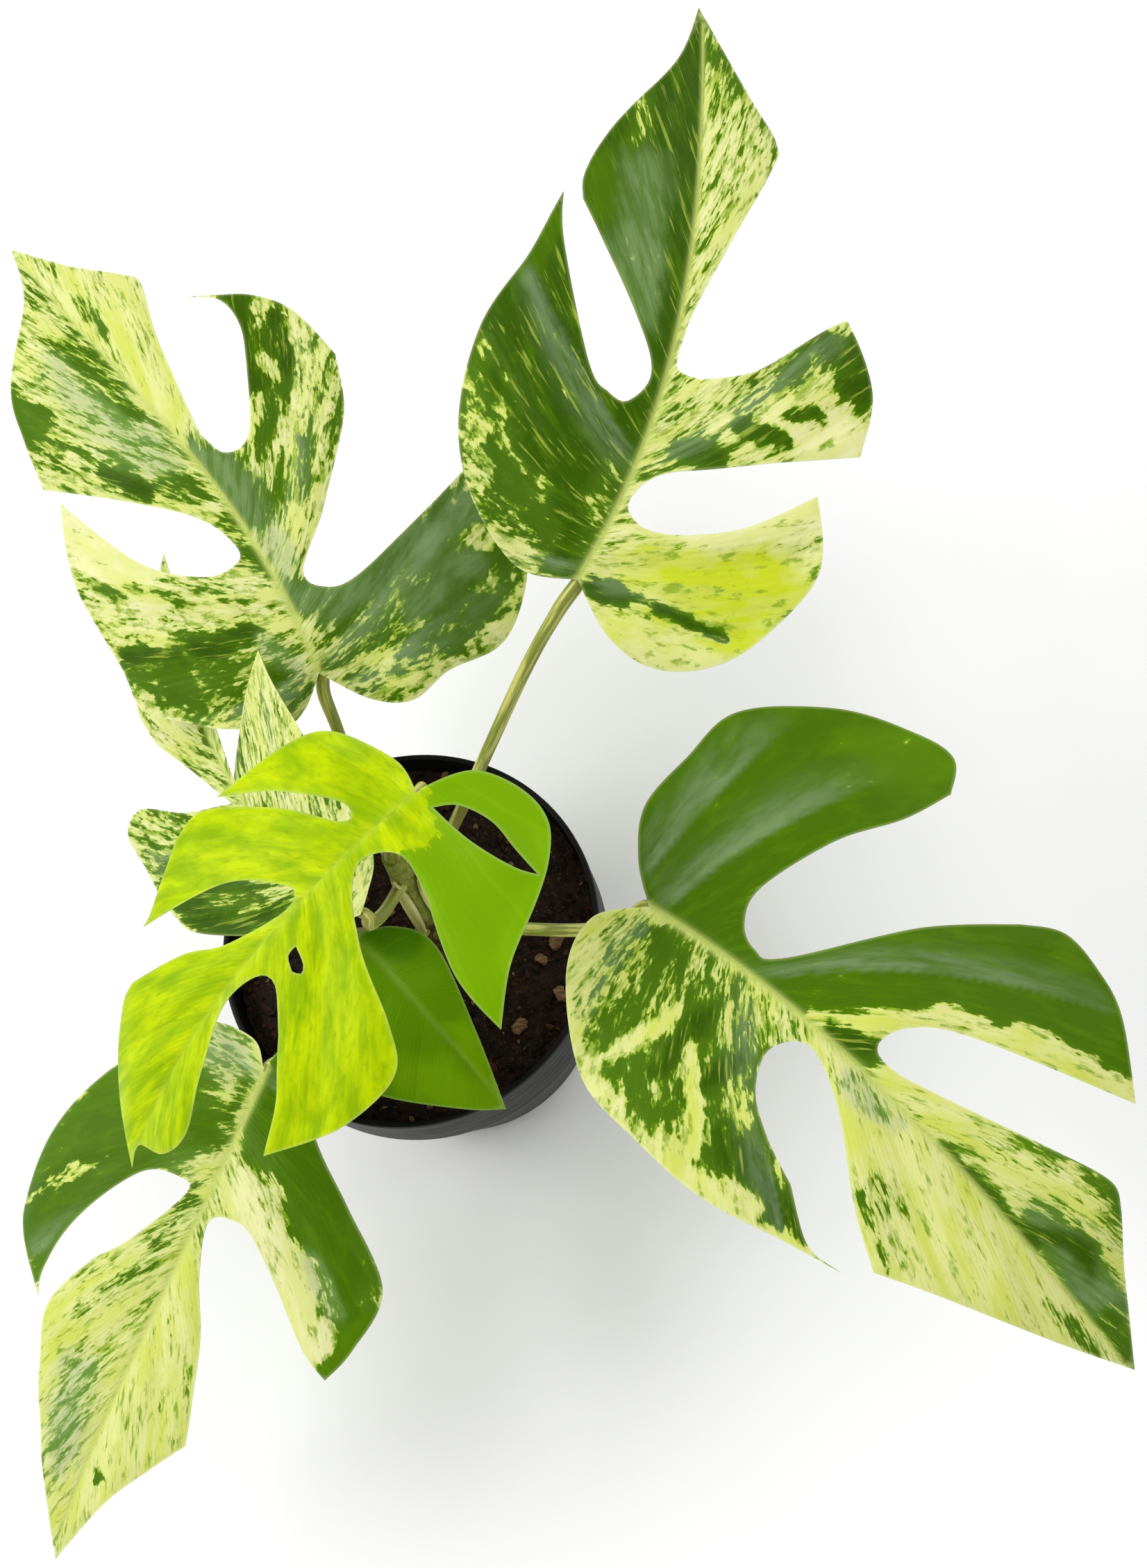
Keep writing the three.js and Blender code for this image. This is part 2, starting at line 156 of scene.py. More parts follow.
LEAVES = {
    "leaf_top": {
        "at": (67, 56, 116), "turn": (76, 9, 8),
        "bend": Bend(151, 12, 0.16, 0.3, -12, 4),
        "outline": [
            [(0, 0), (0, 15), (14, 29), (32, 36), (54, 35), (74, 27), (91, 22)],
            [(91, 22), (78, 19), (50, 7), (44, 1), (43, -4), (51, -8), (65, -1), (90, 17)],
            [(90, 17), (97, 18), (111, 14), (133, 3), (151, 1)],
            [(151, 1), (126, -17), (114, -26), (105, -26), (71, -16), (61, -14), (53, -14), (51, -20)],
            [(51, -20), (55, -33), (69, -49), (69, -53), (55, -61), (40, -61)],
            [(40, -61), (31, -29), (28, -17), (24, -11), (18, -9), (14, -17), (18, -36), (29, -53)],
            [(29, -53), (13, -57), (-1, -50), (-13, -38), (-17, -23), (-12, -10), (0, 0)],
        ],
        "stalk": (29, [(14, 11, 37), (23, 21, 48), (34, 27, 70), (51, 42, 97), (61, 51, 109)]),
        "slot": "leaf_variegated",
        "halves": ("deep", "flecked"),
        "patches": [
            ((100, 4), (66, -4), 9, "sheened"), ((88, 12), (100, 14), 6, "green"),
            ((150, 0), (118, -2), 5, "deep"), ((118, -6), (60, -10), 3, "deep"),
            ((122, 8), (106, 8), 3.5, "marbled"),
            ((50, 34), (30, 33), 3.5, "marbled"), ((30, 32), (12, 25), 5, "speckled"),
            ((12, 25), (0, 8), 6, "speckled"), ((34, 26), (14, 16), 4, "streaked"),
            ((60, 15), (30, 8), 3, "dark"), ((24, 18), (6, 8), 3, "streaked"),
            ((28, -3), (8, -2), 3, "streaked"), ((70, 27), (84, 23), 4, "green"),
            ((148, -3), (122, -12), 4, "marbled"), ((60, -13), (100, -16), 4, "flecked"),
            ((36, -14), (30, -30), 7, "marbled"), ((48, -14), (24, -8), 3, "speckled"),
            ((50, -28), (60, -50), 7, "speckled"), ((44, -40), (44, -58), 6, "cream"),
            ((66, -46), (56, -60), 7, "deep"), ((52, -38), (60, -44), 4, "streaked"),
            ((41, -32), (40, -43), 1.8, "deep"), ((46, -43), (47, -50), 1.5, "deep"),
            ((34, -18), (33, -28), 2, "deep"), ((30, -9), (24, -7), 2, "streaked"),
            ((6, -20), (4, -52), 20, "lime"), ((17, -14), (24, -52), 7, "cream"),
            ((-10, -8), (-14, -36), 5, "butter"), ((10, -6), (16, -10), 4, "flecked"),
            ((1, -4), (-7, -38), 0.5, "dark"), ((-1, -2), (-3, -12), 1, "deep"),
        ],
    },
    "leaf_upper_left": {
        "at": (-13, 59, 63), "turn": (125, 12, -11),
        "bend": Bend(153, 8, 0.1, 0.45, -8, 5),
        "outline": [
            [(0, 0), (-14, -7), (-21, -16), (-20, -28), (-22, -43), (-15, -56), (-1, -68), (11, -73)],
            [(11, -73), (17, -72), (22, -70)],
            [(22, -70), (17, -49), (14, -25), (17, -16), (24, -14), (34, -29), (51, -48), (67, -56)],
            [(67, -56), (84, -54), (94, -48), (100, -40), (105, -33)],
            [(105, -33), (98, -40), (88, -40), (76, -34), (66, -28), (61, -22), (63, -16), (71, -14)],
            [(71, -14), (101, -20), (117, -25), (123, -22), (135, -12), (153, 0)],
            [(153, 0), (137, 5), (119, 22), (104, 28), (90, 32)],
            [(90, 32), (69, 13), (54, 1), (44, -3), (37, -2), (39, 8), (54, 21), (83, 30)],
            [(83, 30), (64, 40), (37, 44), (24, 47), (15, 40), (5, 31), (-5, 17), (-5, 9), (0, 0)],
        ],
        "stalk": (48, [(-1, 20, 46), (-7, 35, 45), (-11, 48, 51), (-13, 55, 57)]),
        "slot": "leaf_variegated",
        "halves": ("flecked", "flecked"),
        "patches": [
            ((140, 2), (70, -2), 6, "speckled"), ((112, 8), (70, -1), 9, "silver_sheen"),
            ((114, 26), (102, 22), 6, "green"), ((98, 20), (94, 24), 4, "streaked"),
            ((90, 28), (66, 8), 5, "speckled"), ((80, 14), (68, 7), 2.4, "dark"),
            ((120, 3), (98, -2), 3.5, "streaked"), ((94, -1), (86, -3), 2, "streaked"),
            ((66, 2), (58, -4), 4, "streaked"), ((78, 34), (46, 24), 11, "cream"),
            ((62, 38), (50, 30), 1.2, "marbled"), ((52, 28), (38, 18), 1.2, "marbled"),
            ((34, 40), (6, 14), 12, "marbled"), ((37, 40), (27, 28), 2, "dark"),
            ((26, 22), (18, 6), 3, "dark"), ((24, 40), (14, 32), 3, "streaked"),
            ((40, 4), (20, 0), 4, "flecked"), ((14, 6), (4, 4), 4, "silver_sheen"),
            ((6, 10), (0, 6), 4, "streaked"), ((48, -4), (30, -5), 3, "streaked"),
            ((130, -8), (80, -12), 10, "butter"), ((126, -8), (112, -9), 1.6, "marbled"),
            ((70, -10), (58, -12), 4, "sheened"), ((60, -14), (44, -12), 8, "sheened"),
            ((56, -24), (74, -44), 9, "flecked"), ((100, -44), (72, -34), 4, "deep"),
            ((86, -50), (70, -42), 2.2, "dark"), ((70, -40), (56, -24), 3, "streaked"),
            ((64, -52), (50, -42), 4, "speckled"), ((42, -24), (52, -38), 4, "marbled"),
            ((36, -12), (26, -8), 6, "silver_sheen"), ((20, -6), (16, -14), 5, "sheened"),
            ((11, -14), (12, -68), 8, "sheened"), ((3, -4), (5, -64), 2.6, "marbled"),
            ((-6, -8), (-6, -62), 8, "streaked"), ((-3, -30), (0, -52), 4, "sheened"),
            ((-12, -14), (-14, -50), 5, "streaked"), ((-18, -12), (-20, -44), 3, "flecked"),
            ((-5, -8), (-12, -26), 2, "speckled"),
        ],
    },
    "leaf_right": {
        "at": (81, -22, 98), "turn": (-45, -15, -1),
        "bend": Bend(154, 14, 0.12, 0.3, 5, -2),
        "outline": [
            [(0, 0), (-10, 7), (-18, 18), (-19, 34), (-18, 51), (-1, 68), (17, 76), (28, 77), (33, 69)],
            [(33, 69), (29, 56), (21, 41), (16, 21), (19, 12), (25, 9), (31, 12), (49, 39), (65, 56)],
            [(65, 56), (74, 62), (85, 61), (96, 57), (112, 44)],
            [(112, 44), (100, 39), (72, 27), (62, 19), (60, 12), (65, 10), (77, 13), (115, 26)],
            [(115, 26), (121, 27), (126, 24), (137, 14), (154, 1)],
            [(154, 1), (135, -8), (107, -20), (94, -26)],
            [(94, -26), (80, -18), (63, -5), (49, 1), (43, -6), (47, -15), (56, -21), (67, -25)],
            [(67, -25), (79, -32), (89, -31)],
            [(89, -31), (75, -35), (55, -41), (35, -42), (16, -40), (-3, -25), (-8, -11), (0, 0)],
        ],
        "stalk": (17, [(25, -6, 35), (44, -13, 53), (60, -20, 74), (72, -24, 89)]),
        "slot": "leaf_variegated",
        "halves": ("green", "butter"),
        "patches": [
            ((28, 72), (10, 66), 10, "grassy"),
            ((46, 6), (60, 19), 3.5, "butter"), ((60, 20), (76, 32), 4.5, "butter"),
            ((76, 32), (93, 39), 4.5, "butter"), ((93, 39), (114, 45), 4, "butter"),
            ((62, 11), (50, 7), 2, "dark"), ((140, 10), (72, 9), 17, "hazy"),
            ((122, 22), (94, 13), 3, "flecked"), ((84, 12), (66, 8), 3, "butter"),
            ((140, 7), (112, 9), 6, "sheened"), ((128, 11), (112, 7), 3, "deep"),
            ((116, 4), (86, 5), 1.2, "deep"), ((150, 2), (140, 4), 3, "streaked"),
            ((148, -2), (128, -4), 2, "marbled"), ((96, -22), (80, -12), 3, "speckled"),
            ((74, 1), (60, 1), 3, "silver_sheen"), ((56, -2), (40, 0), 3, "flecked"),
            ((42, -8), (4, -16), 22, "marbled"), ((52, -30), (12, -28), 13, "marbled"),
            ((2, -26), (-5, -14), 4, "butter"), ((10, -36), (0, -30), 1.5, "butter"),
            ((28, -28), (27, -9), 2.2, "dark"),
            ((20, -5), (0, -5), 3, "streaked"), ((40, -12), (36, -26), 2.4, "dark"),
            ((86, -31), (56, -22), 6, "streaked"), ((60, -22), (46, -12), 5, "streaked"),
            ((74, -31), (48, -28), 4, "dark"), ((60, -38), (40, -40), 0.6, "butter"),
            ((46, -34), (30, -18), 1.2, "butter"), ((22, -14), (18, -32), 1.4, "butter"),
        ],
    },
    "leaf_lower_left": {
        "at": (-27, -46, 48), "turn": (-120, -20, -2),
        "bend": Bend(148, 12, 0.08, 0.45, 3, -2),
        "outline": [
            [(0, -1), (-5, -7), (-4, -19), (4, -29), (24, -42), (42, -48), (61, -47), (71, -43), (82, -30)],
            [(82, -30), (75, -32), (57, -28), (38, -17), (34, -6), (37, -3), (54, -11), (63, -18)],
            [(63, -18), (81, -26), (97, -22), (120, -12), (148, 1)],
            [(148, 1), (123, 10), (108, 18), (96, 25)],
            [(96, 25), (70, 18), (53, 10), (41, 6), (37, 11), (39, 20), (57, 41), (63, 51)],
            [(63, 51), (53, 54), (36, 54), (21, 37), (9, 21), (-2, 12), (-9, 7), (-8, 2), (0, -1)],
        ],
        "stalk": (22, [(3, -12, 24), (-9, -26, 25), (-19, -37, 29)]),
        "slot": "leaf_variegated",
        "halves": ("hazy", "hazy"),
        "patches": [
            ((120, 6), (60, 10), 14, "butter"), ((110, 12), (92, 8), 4, "hazy"),
            ((100, 20), (76, 16), 5, "hazy"),
            ((44, 48), (4, 8), 15, "green"), ((20, 30), (10, 8), 13, "green"),
            ((62, 48), (46, 34), 8, "cream"), ((46, 34), (32, 18), 8, "cream"),
            ((36, 22), (26, 6), 7, "cream"), ((44, 4), (24, 3), 5, "flecked"),
            ((46, 46), (36, 34), 2.4, "silver_sheen"), ((62, 52), (44, 55), 4, "grassy"),
            ((12, 6), (-6, 6), 5, "green"), ((118, 6), (116, 6), 0.6, "green"),
            ((130, -10), (122, -11), 0.8, "green"), ((120, -6), (90, -10), 7, "silver_sheen"),
            ((80, -17), (62, -8), 2, "speckled"), ((60, -4), (32, -2), 3.5, "speckled"),
            ((14, -20), (66, -38), 22, "green"), ((20, -6), (30, -18), 9, "green"),
            ((62, -46), (46, -36), 0.8, "speckled"), ((54, -38), (40, -28), 0.4, "speckled"),
            ((4, -5), (0, -18), 6, "silver_sheen"),
            ((24, -1), (6, -3), 1.6, "marbled"),
        ],
    },
    "leaf_front": {
        "at": (33, -3, 135), "turn": (-136, -22, -2),
        "bend": Bend(118, 12, 0.1, 0.5, -3, -1),
        "outline": [
            [(0, 0), (-2, -9), (3, -25), (13, -32), (33, -37)],
            [(33, -37), (22, -26), (13, -12), (13, -7), (16, -8), (23, -21), (37, -37), (47, -38)],
            [(47, -38), (62, -31), (67, -30)],
            [(67, -30), (45, -20), (35, -8), (35, -4), (41, -4), (55, -10), (64, -17), (79, -24)],
            [(79, -24), (86, -23), (101, -15), (118, 0)],
            [(118, 0), (111, -1), (107, 6), (97, 9), (82, 4), (66, -1), (55, 1), (53, 6), (61, 14)],
            [(61, 14), (72, 22), (86, 28)],
            [(86, 28), (68, 38), (51, 40), (42, 32), (33, 15), (23, 4), (17, 3), (12, 9), (15, 20)],
            [(15, 20), (24, 36), (27, 51)],
            [(27, 51), (15, 44), (-7, 34), (-15, 23), (-12, 7), (0, 0)],
        ],
        "holes": [
            [[(0, 6), (-4, 10), (-6, 18), (-5, 26), (-4, 34)], [(-4, 34), (-2, 29), (0, 17), (0, 6)]],
            [[(43, 4), (46, 4), (48, 7)], [(48, 7), (47, 9), (45, 8), (43, 4)]],
        ],
        "stalk": (55, [(12, 9, 76), (21, 6, 100), (29, 0, 121)]),
        "slot": "leaf_lime",
        "halves": ("lime", "lime"),
        "patches": [
            # painted shade: the green patches on the windowed basal lobe are partly its own darker green and
            # partly shade where the lobe turns from the light
            ((-8, 11), (3, 48), 19, "green"), ((15, 14), (26, 47), 13, "green"),
            ((100, 2), (60, -2), 3, "lime"), ((104, -8), (80, -10), 4, "lime"),
        ],
    },
    "leaf_small": {
        "at": (-9, -7, 35), "turn": (-49, -13, 0),
        "bend": Bend(63, 5, 0.1, 0.4, 1, 0),
        "outline": [
            [(0, 0), (6, 10), (18, 15), (42, 8), (63, 0)],
            [(63, 0), (56, -8), (39, -22), (26, -27), (9, -22), (-1, -9), (0, 0)],
        ],
        "stalk": (12, [(4, -4, 22), (-4, -5, 28)]),
        "slot": "leaf_green",
        "halves": ("grassy", "grassy"),
        "patches": [
            # painted shadow: the darker green patch at the base, from (12, 12) to (4, 4), is where leaf_front
            # overhangs
            ((60, 0), (40, 4), 5, "leafy"), ((12, 12), (4, 4), 6, "green"),
            ((60, -2), (40, -12), 7, "leafy"),
        ],
    },
    "leaf_back": {
        "at": (1, -10, 63), "turn": (120, -9, -33),
        "bend": Bend(140, 4, 0.35, 0.1, 14, -4),
        "outline": [
            [(0, 0), (4, -16), (18, -24), (42, -23), (70, -25)],
            [(70, -25), (66, -3), (60, 13)],
            [(60, 13), (85, 7), (97, 3), (140, 0)],
            [(140, 0), (110, 25), (91, 28), (76, 24), (55, 17)],
            [(55, 17), (63, 30), (74, 41), (71, 48), (59, 48), (39, 46), (28, 41), (8, 17), (0, 0)],
        ],
        "stalk": (42, [(4, -6, 51), (2, -11, 58)]),
        "slot": "leaf_variegated",
        "halves": ("speckled", "flecked"),
        "patches": [
            ((130, 8), (90, 18), 14, "cream"), ((120, 4), (88, 14), 3, "flecked"),
            ((70, -6), (60, 8), 7, "speckled"), ((68, -20), (48, -14), 9, "flecked"),
            ((70, 44), (50, 34), 8, "speckled"), ((40, 42), (18, 22), 9, "dark"),
            ((34, 34), (24, 24), 3, "marbled"), ((40, 10), (10, 6), 8, "green"),
            ((30, -14), (8, -8), 8, "flecked"), ((44, -20), (22, -20), 3, "speckled"),
        ],
    },
}

# A sheath runs up the stem from one height to another, on the side that it faces, in degrees.
SHEATHS = {
    "sheath_1": {"from": 24, "to": 50, "facing": -98},
    "sheath_2": {"from": 27, "to": 46, "facing": -2},
}
SHEATH_WIDTH = 4
SHEATH_THICKNESS = 0.75

# ---------------------------------------------------------------- colours

def paint(code):
    """A colour written as six hexadecimal digits, as the shaders take it."""
    parts = [int(code[i:i + 2], 16) / 255 for i in (0, 2, 4)]
    return [p / 12.92 if p <= 0.04045 else ((p + 0.055) / 1.055) ** 2.4 for p in parts] + [1.0]


CREAM = paint("dedea2")
YELLOW_LIME = paint("bfcc28")
PALE_GREEN = paint("a9ba45")
MID_GREEN = paint("7c9c1c")
LEAF_GREEN = paint("5a8600")
DEEP_GREEN = paint("2c4e00")
# the grey of the painted sheen on the leaves, a painted reflection
PAINTED_SHEEN_GREY = paint("8ba07a")
PALE_MARGIN = paint("d9e0a0")
PALE_RIB = paint("bcc86a")
LEAF_GLOSS = paint("dcf09a")

# ---------------------------------------------------------------- node helpers

def add_node(tree, kind, settings=None, **inputs):
    """A node with its settings, and with its inputs set to a value or linked to a socket."""
    made = tree.nodes.new(kind)
    for name, value in (settings or {}).items():
        setattr(made, name, value)
    for key, value in inputs.items():
        socket = made.inputs[int(key[1:]) if key[0] == "i" and key[1:].isdigit() else key.replace("_", " ")]
        if isinstance(value, bpy.types.NodeSocket):
            tree.links.new(value, socket)
        else:
            socket.default_value = value
    return made


def calc(tree, operation, *values, clamp=False):
    inputs = {f"i{i}": value for i, value in enumerate(values)}
    return add_node(tree, "ShaderNodeMath", {"operation": operation, "use_clamp": clamp}, **inputs).outputs[0]


def times(tree, value, factor):
    return calc(tree, "MULTIPLY", value, factor)


def times_plus(tree, value, factor, added, clamp=False):
    return calc(tree, "MULTIPLY_ADD", value, factor, added, clamp=clamp)


def blend_colour(tree, share, first, second):
    return add_node(tree, "ShaderNodeMix", {"data_type": "RGBA"}, i0=share, i6=first, i7=second).outputs[2]


def split_colour(tree, colour):
    return add_node(tree, "ShaderNodeSeparateColor", Color=colour).outputs


def own_uv(tree, name):
    return add_node(tree, "ShaderNodeUVMap", {"uv_map": name}).outputs[0]


def object_place(tree):
    return add_node(tree, "ShaderNodeTexCoord").outputs["Object"]


def stretch(tree, where, scale, rotation=(0.0, 0.0, 0.0)):
    return add_node(tree, "ShaderNodeMapping", Vector=where, Rotation=rotation, Scale=scale).outputs[0]


def remap(tree, value, low, high, to_low=0.0, to_high=1.0):
    made = add_node(tree, "ShaderNodeMapRange", {"interpolation_type": "SMOOTHSTEP"},
                    i0=value, i1=low, i2=high, i3=to_low, i4=to_high)
    return made.outputs[0]


def fine_noise(tree, where, scale, detail=3.0, roughness=0.55):
    return add_node(tree, "ShaderNodeTexNoise", Vector=where, Scale=scale, Detail=detail,
                    Roughness=roughness).outputs[0]


def new_group(name, inputs, outputs):
    """An empty node group with named inputs and outputs: (tree, its input sockets, its output node)."""
    tree = bpy.data.node_groups.new(name, "ShaderNodeTree")
    for label, kind, value in inputs:
        socket = tree.interface.new_socket(label, in_out="INPUT", socket_type=kind)
        if value is not None:
            socket.default_value = value
    for label, kind in outputs:
        tree.interface.new_socket(label, in_out="OUTPUT", socket_type=kind)
    return tree, tree.nodes.new("NodeGroupInput").outputs, tree.nodes.new("NodeGroupOutput")


def use_group(tree, group, **inputs):
    return add_node(tree, "ShaderNodeGroup", {"node_tree": group}, **inputs).outputs


def streak(tree, streaks, flow, across, along, contrast=2.6):
    return use_group(tree, streaks, Flow=flow, Across=across, Along=along, Contrast=contrast)[0]


FLOAT, COLOUR, VECTOR = "NodeSocketFloat", "NodeSocketColor", "NodeSocketVector"

# ---------------------------------------------------------------- shared effects

def make_vein_streaks():
    """Noise drawn out along the veins, spread evenly from 0 to 1."""
    tree, given, out = new_group(
        "vein_streaks",
        [("Flow", VECTOR, None), ("Across", FLOAT, 0.6), ("Along", FLOAT, 0.1), ("Contrast", FLOAT, 2.6)],
        [("Streak", FLOAT)],
    )
    across_along = add_node(tree, "ShaderNodeCombineXYZ", X=given["Across"], Y=given["Along"], Z=1.0)
    stretched = add_node(tree, "ShaderNodeVectorMath", {"operation": "MULTIPLY"},
                         i0=given["Flow"], i1=across_along.outputs[0])
    wobble = add_node(tree, "ShaderNodeTexNoise", Vector=stretched.outputs[0], Scale=1.0, Detail=4.0,
                      Roughness=0.6, Distortion=0.3)
    centred = calc(tree, "SUBTRACT", wobble.outputs[0], 0.5)
    tree.links.new(times_plus(tree, centred, given["Contrast"], 0.5, clamp=True), out.inputs[0])
    return tree


def make_variegation(streaks):
    """Cream and green tissue laid over each other in streaks that follow the veins."""
    tree, given, out = new_group(
        "variegation",
        [("Flow", VECTOR, None), ("Green Share", FLOAT, 0.5), ("Depth", FLOAT, 0.5),
         ("Lime", FLOAT, 0.2), ("Bloom", FLOAT, 0.0)],
        [("Color", COLOUR), ("Green", FLOAT)],
    )
    broad = streak(tree, streaks, given["Flow"], 0.17, 0.034)
    middle = streak(tree, streaks, given["Flow"], 0.5, 0.085)
    fine = streak(tree, streaks, given["Flow"], 1.35, 0.3)
    layered = times_plus(tree, broad, 0.21, times(tree, middle, 0.46))
    layered = times_plus(tree, fine, 0.33, layered)
    spread = times_plus(tree, calc(tree, "SUBTRACT", layered, 0.5), 2.3, 0.5)
    share = times_plus(tree, given["Green Share"], 1.6, -0.22)
    over = calc(tree, "SUBTRACT", share, spread)
    veil = remap(tree, times_plus(tree, broad, -0.35, over), -0.7, -0.1)
    green = remap(tree, over, -0.05, 0.06)
    full = remap(tree, over, 0.02, 0.22)

    limes = times_plus(tree, remap(tree, broad, 0.3, 0.8, -0.3, 0.4), 0.6, given["Lime"], clamp=True)
    pale = blend_colour(tree, limes, CREAM, YELLOW_LIME)
    haze = streak(tree, streaks, given["Flow"], 0.9, 0.15)
    haze = times(tree, remap(tree, haze, 0.5, 0.72), remap(tree, over, -0.62, -0.22, 0.0, 0.75))
    pale = blend_colour(tree, times(tree, veil, 0.5), pale, PALE_GREEN)
    pale = blend_colour(tree, haze, pale, MID_GREEN)
    leafy = blend_colour(tree, given["Depth"], LEAF_GREEN, DEEP_GREEN)
    leafy = blend_colour(tree, remap(tree, middle, 0.35, 0.95, 0.0, 0.3), leafy, LEAF_GREEN)
    thread = streak(tree, streaks, given["Flow"], 1.1, 0.06)
    in_deep_green = remap(tree, given["Depth"], 0.66, 0.95, 0.0, 0.55)
    thread = times(tree, remap(tree, thread, 0.66, 0.9), in_deep_green)
    leafy = blend_colour(tree, thread, leafy, PALE_GREEN)
    leafy = blend_colour(tree, full, MID_GREEN, leafy)
    both = blend_colour(tree, green, pale, leafy)
    # painted sheen: a clouded grey laid over the tissue, as strong as the tone's fourth value asks
    cloud = remap(tree, middle, 0.15, 0.75, 0.35, 1.0)
    both = blend_colour(tree, times(tree, given["Bloom"], times(tree, cloud, 0.5)),
                        both, PAINTED_SHEEN_GREY)
    tree.links.new(both, out.inputs[0])
    tree.links.new(green, out.inputs[1])
    return tree


def make_vein_relief(streaks):
    """Height of a leaf's skin: side veins, the fine veins between them, and a soft grain."""
    tree, given, out = new_group(
        "vein_relief",
        [("Flow", VECTOR, None), ("Rib", FLOAT, 0.0)],
        [("Height", FLOAT), ("Side Vein", FLOAT)],
    )
    split = add_node(tree, "ShaderNodeSeparateXYZ", Vector=given["Flow"])
    swing = times_plus(tree, fine_noise(tree, given["Flow"], 0.05, 1.0), 2.0, split.outputs[0])
    wave = calc(tree, "PINGPONG", swing, VEIN_SPACING / 2)
    side_vein = remap(tree, wave, 0.0, 0.55, 1.0, 0.0)
    fine_wave = calc(tree, "SINE", times(tree, swing, 2 * math.pi / 0.9))
    grain = streak(tree, streaks, given["Flow"], 1.4, 0.5, 1.6)
    height = times_plus(tree, fine_wave, 0.10, times(tree, grain, 0.35))
    height = calc(tree, "SUBTRACT", height, times(tree, side_vein, 0.35))
    tree.links.new(calc(tree, "SUBTRACT", height, times(tree, given["Rib"], 0.5)), out.inputs[0])
    tree.links.new(side_vein, out.inputs[1])
    return tree


def make_mottle():
    """Two scales of blotches, for bark, soil, stems and dust."""
    tree, given, out = new_group(
        "mottle",
        [("Where", VECTOR, None), ("Size", FLOAT, 400.0), ("Low", COLOUR, None), ("High", COLOUR, None)],
        [("Color", COLOUR), ("Mask", FLOAT)],
    )
    coarse = fine_noise(tree, given["Where"], given["Size"], 3.0)
    fine = fine_noise(tree, given["Where"], times(tree, given["Size"], 4.3), 2.0)
    mask = remap(tree, times_plus(tree, fine, 0.4, times(tree, coarse, 0.6)), 0.36, 0.64)
    tree.links.new(blend_colour(tree, mask, given["Low"], given["High"]), out.inputs[0])
    tree.links.new(mask, out.inputs[1])
    return tree


STREAKS = make_vein_streaks()
VARIEGATION = make_variegation(STREAKS)
VEIN_RELIEF = make_vein_relief(STREAKS)
MOTTLE = make_mottle()

# ---------------------------------------------------------------- materials

def new_material(name, **shader):
    """A material with a Principled BSDF: (material, tree, the shader node)."""
    made = bpy.data.materials.new(name)
    made.use_nodes = True
    tree = made.node_tree
    skin = tree.nodes["Principled BSDF"]
    for key, value in shader.items():
        skin.inputs[key.replace("_", " ")].default_value = value
    return made, tree, skin


def bump(tree, skin, height, strength, distance):
    made = add_node(tree, "ShaderNodeBump", Strength=strength, Distance=distance, Height=height)
    tree.links.new(made.outputs[0], skin.inputs["Normal"])


def attribute(tree, name):
    settings = {"attribute_type": "GEOMETRY", "attribute_name": name}
    return add_node(tree, "ShaderNodeAttribute", settings).outputs


def make_leaf_skin(name, pale_share):
    """Leaf tissue: its own tone map, streaked along the veins, with a pale rib and margin."""
    made, tree, skin = new_material(name, Specular_IOR_Level=0.16, Specular_Tint=LEAF_GLOSS)
    flow = own_uv(tree, "veins")
    tones = attribute(tree, "tones")
    share, depth, lime = split_colour(tree, tones["Color"])
    colour, green = use_group(tree, VARIEGATION, Flow=flow, Green_Share=share, Depth=depth,
                              Lime=lime, Bloom=tones["Alpha"])
    margin, rib, sheen = split_colour(tree, attribute(tree, "places")["Color"])
    height = use_group(tree, VEIN_RELIEF, Flow=flow, Rib=rib)[0]
    # painted sheen: grey highlight streaks beside each lobe crease, on green tissue only
    glint = streak(tree, STREAKS, flow, 0.5, 0.06, 2.2)
    glint = times(tree, remap(tree, glint, 0.1, 0.8, 0.12, 0.5), sheen)
    colour = blend_colour(tree, times(tree, glint, green), colour, PAINTED_SHEEN_GREY)
    colour = blend_colour(tree, times(tree, rib, 0.8), colour, PALE_RIB)
    margin = times(tree, margin, times_plus(tree, green, -0.6 * pale_share, pale_share))
    colour = blend_colour(tree, margin, colour, PALE_MARGIN)
    tree.links.new(colour, skin.inputs["Base Color"])
    tree.links.new(times_plus(tree, green, -0.06, 0.5), skin.inputs["Roughness"])
    bump(tree, skin, height, 0.35, 0.0004)
    return made


def make_lime_skin(name, low, high, deep):
    """Leaf tissue without variegation: one green, streaked lighter and darker along the veins."""
    made, tree, skin = new_material(name, Specular_IOR_Level=0.12, Specular_Tint=LEAF_GLOSS)
    flow = own_uv(tree, "veins")
    line = streak(tree, STREAKS, flow, 0.3, 0.07, 1.8)
    fleck = streak(tree, STREAKS, flow, 1.0, 0.28, 2.2)
    share, green_depth, _ = split_colour(tree, attribute(tree, "tones")["Color"])
    colour = blend_colour(tree, remap(tree, line, 0.05, 0.95), low, high)
    colour = blend_colour(tree, remap(tree, fleck, 0.5, 0.95, 0.0, 0.5), colour, low)
    edge = times_plus(tree, fleck, 0.5, times(tree, line, 0.5))
    over = calc(tree, "SUBTRACT", times_plus(tree, share, 1.5, -0.25), edge)
    depth = remap(tree, green_depth, 0.0, 0.65, 0.1, 1.0)
    colour = blend_colour(tree, remap(tree, over, -0.05, 0.08), colour, blend_colour(tree, depth, low, deep))
    margin, rib, _ = split_colour(tree, attribute(tree, "places")["Color"])
    height, side_vein = use_group(tree, VEIN_RELIEF, Flow=flow, Rib=rib)
    colour = blend_colour(tree, times(tree, side_vein, 0.05), colour, high)
    colour = blend_colour(tree, times(tree, rib, 0.1), colour, PALE_RIB)
    colour = blend_colour(tree, times(tree, margin, 0.15), colour, PALE_MARGIN)
    tree.links.new(colour, skin.inputs["Base Color"])
    tree.links.new(remap(tree, fleck, 0.0, 1.0, 0.38, 0.48), skin.inputs["Roughness"])
    bump(tree, skin, height, 0.35, 0.0004)
    return made


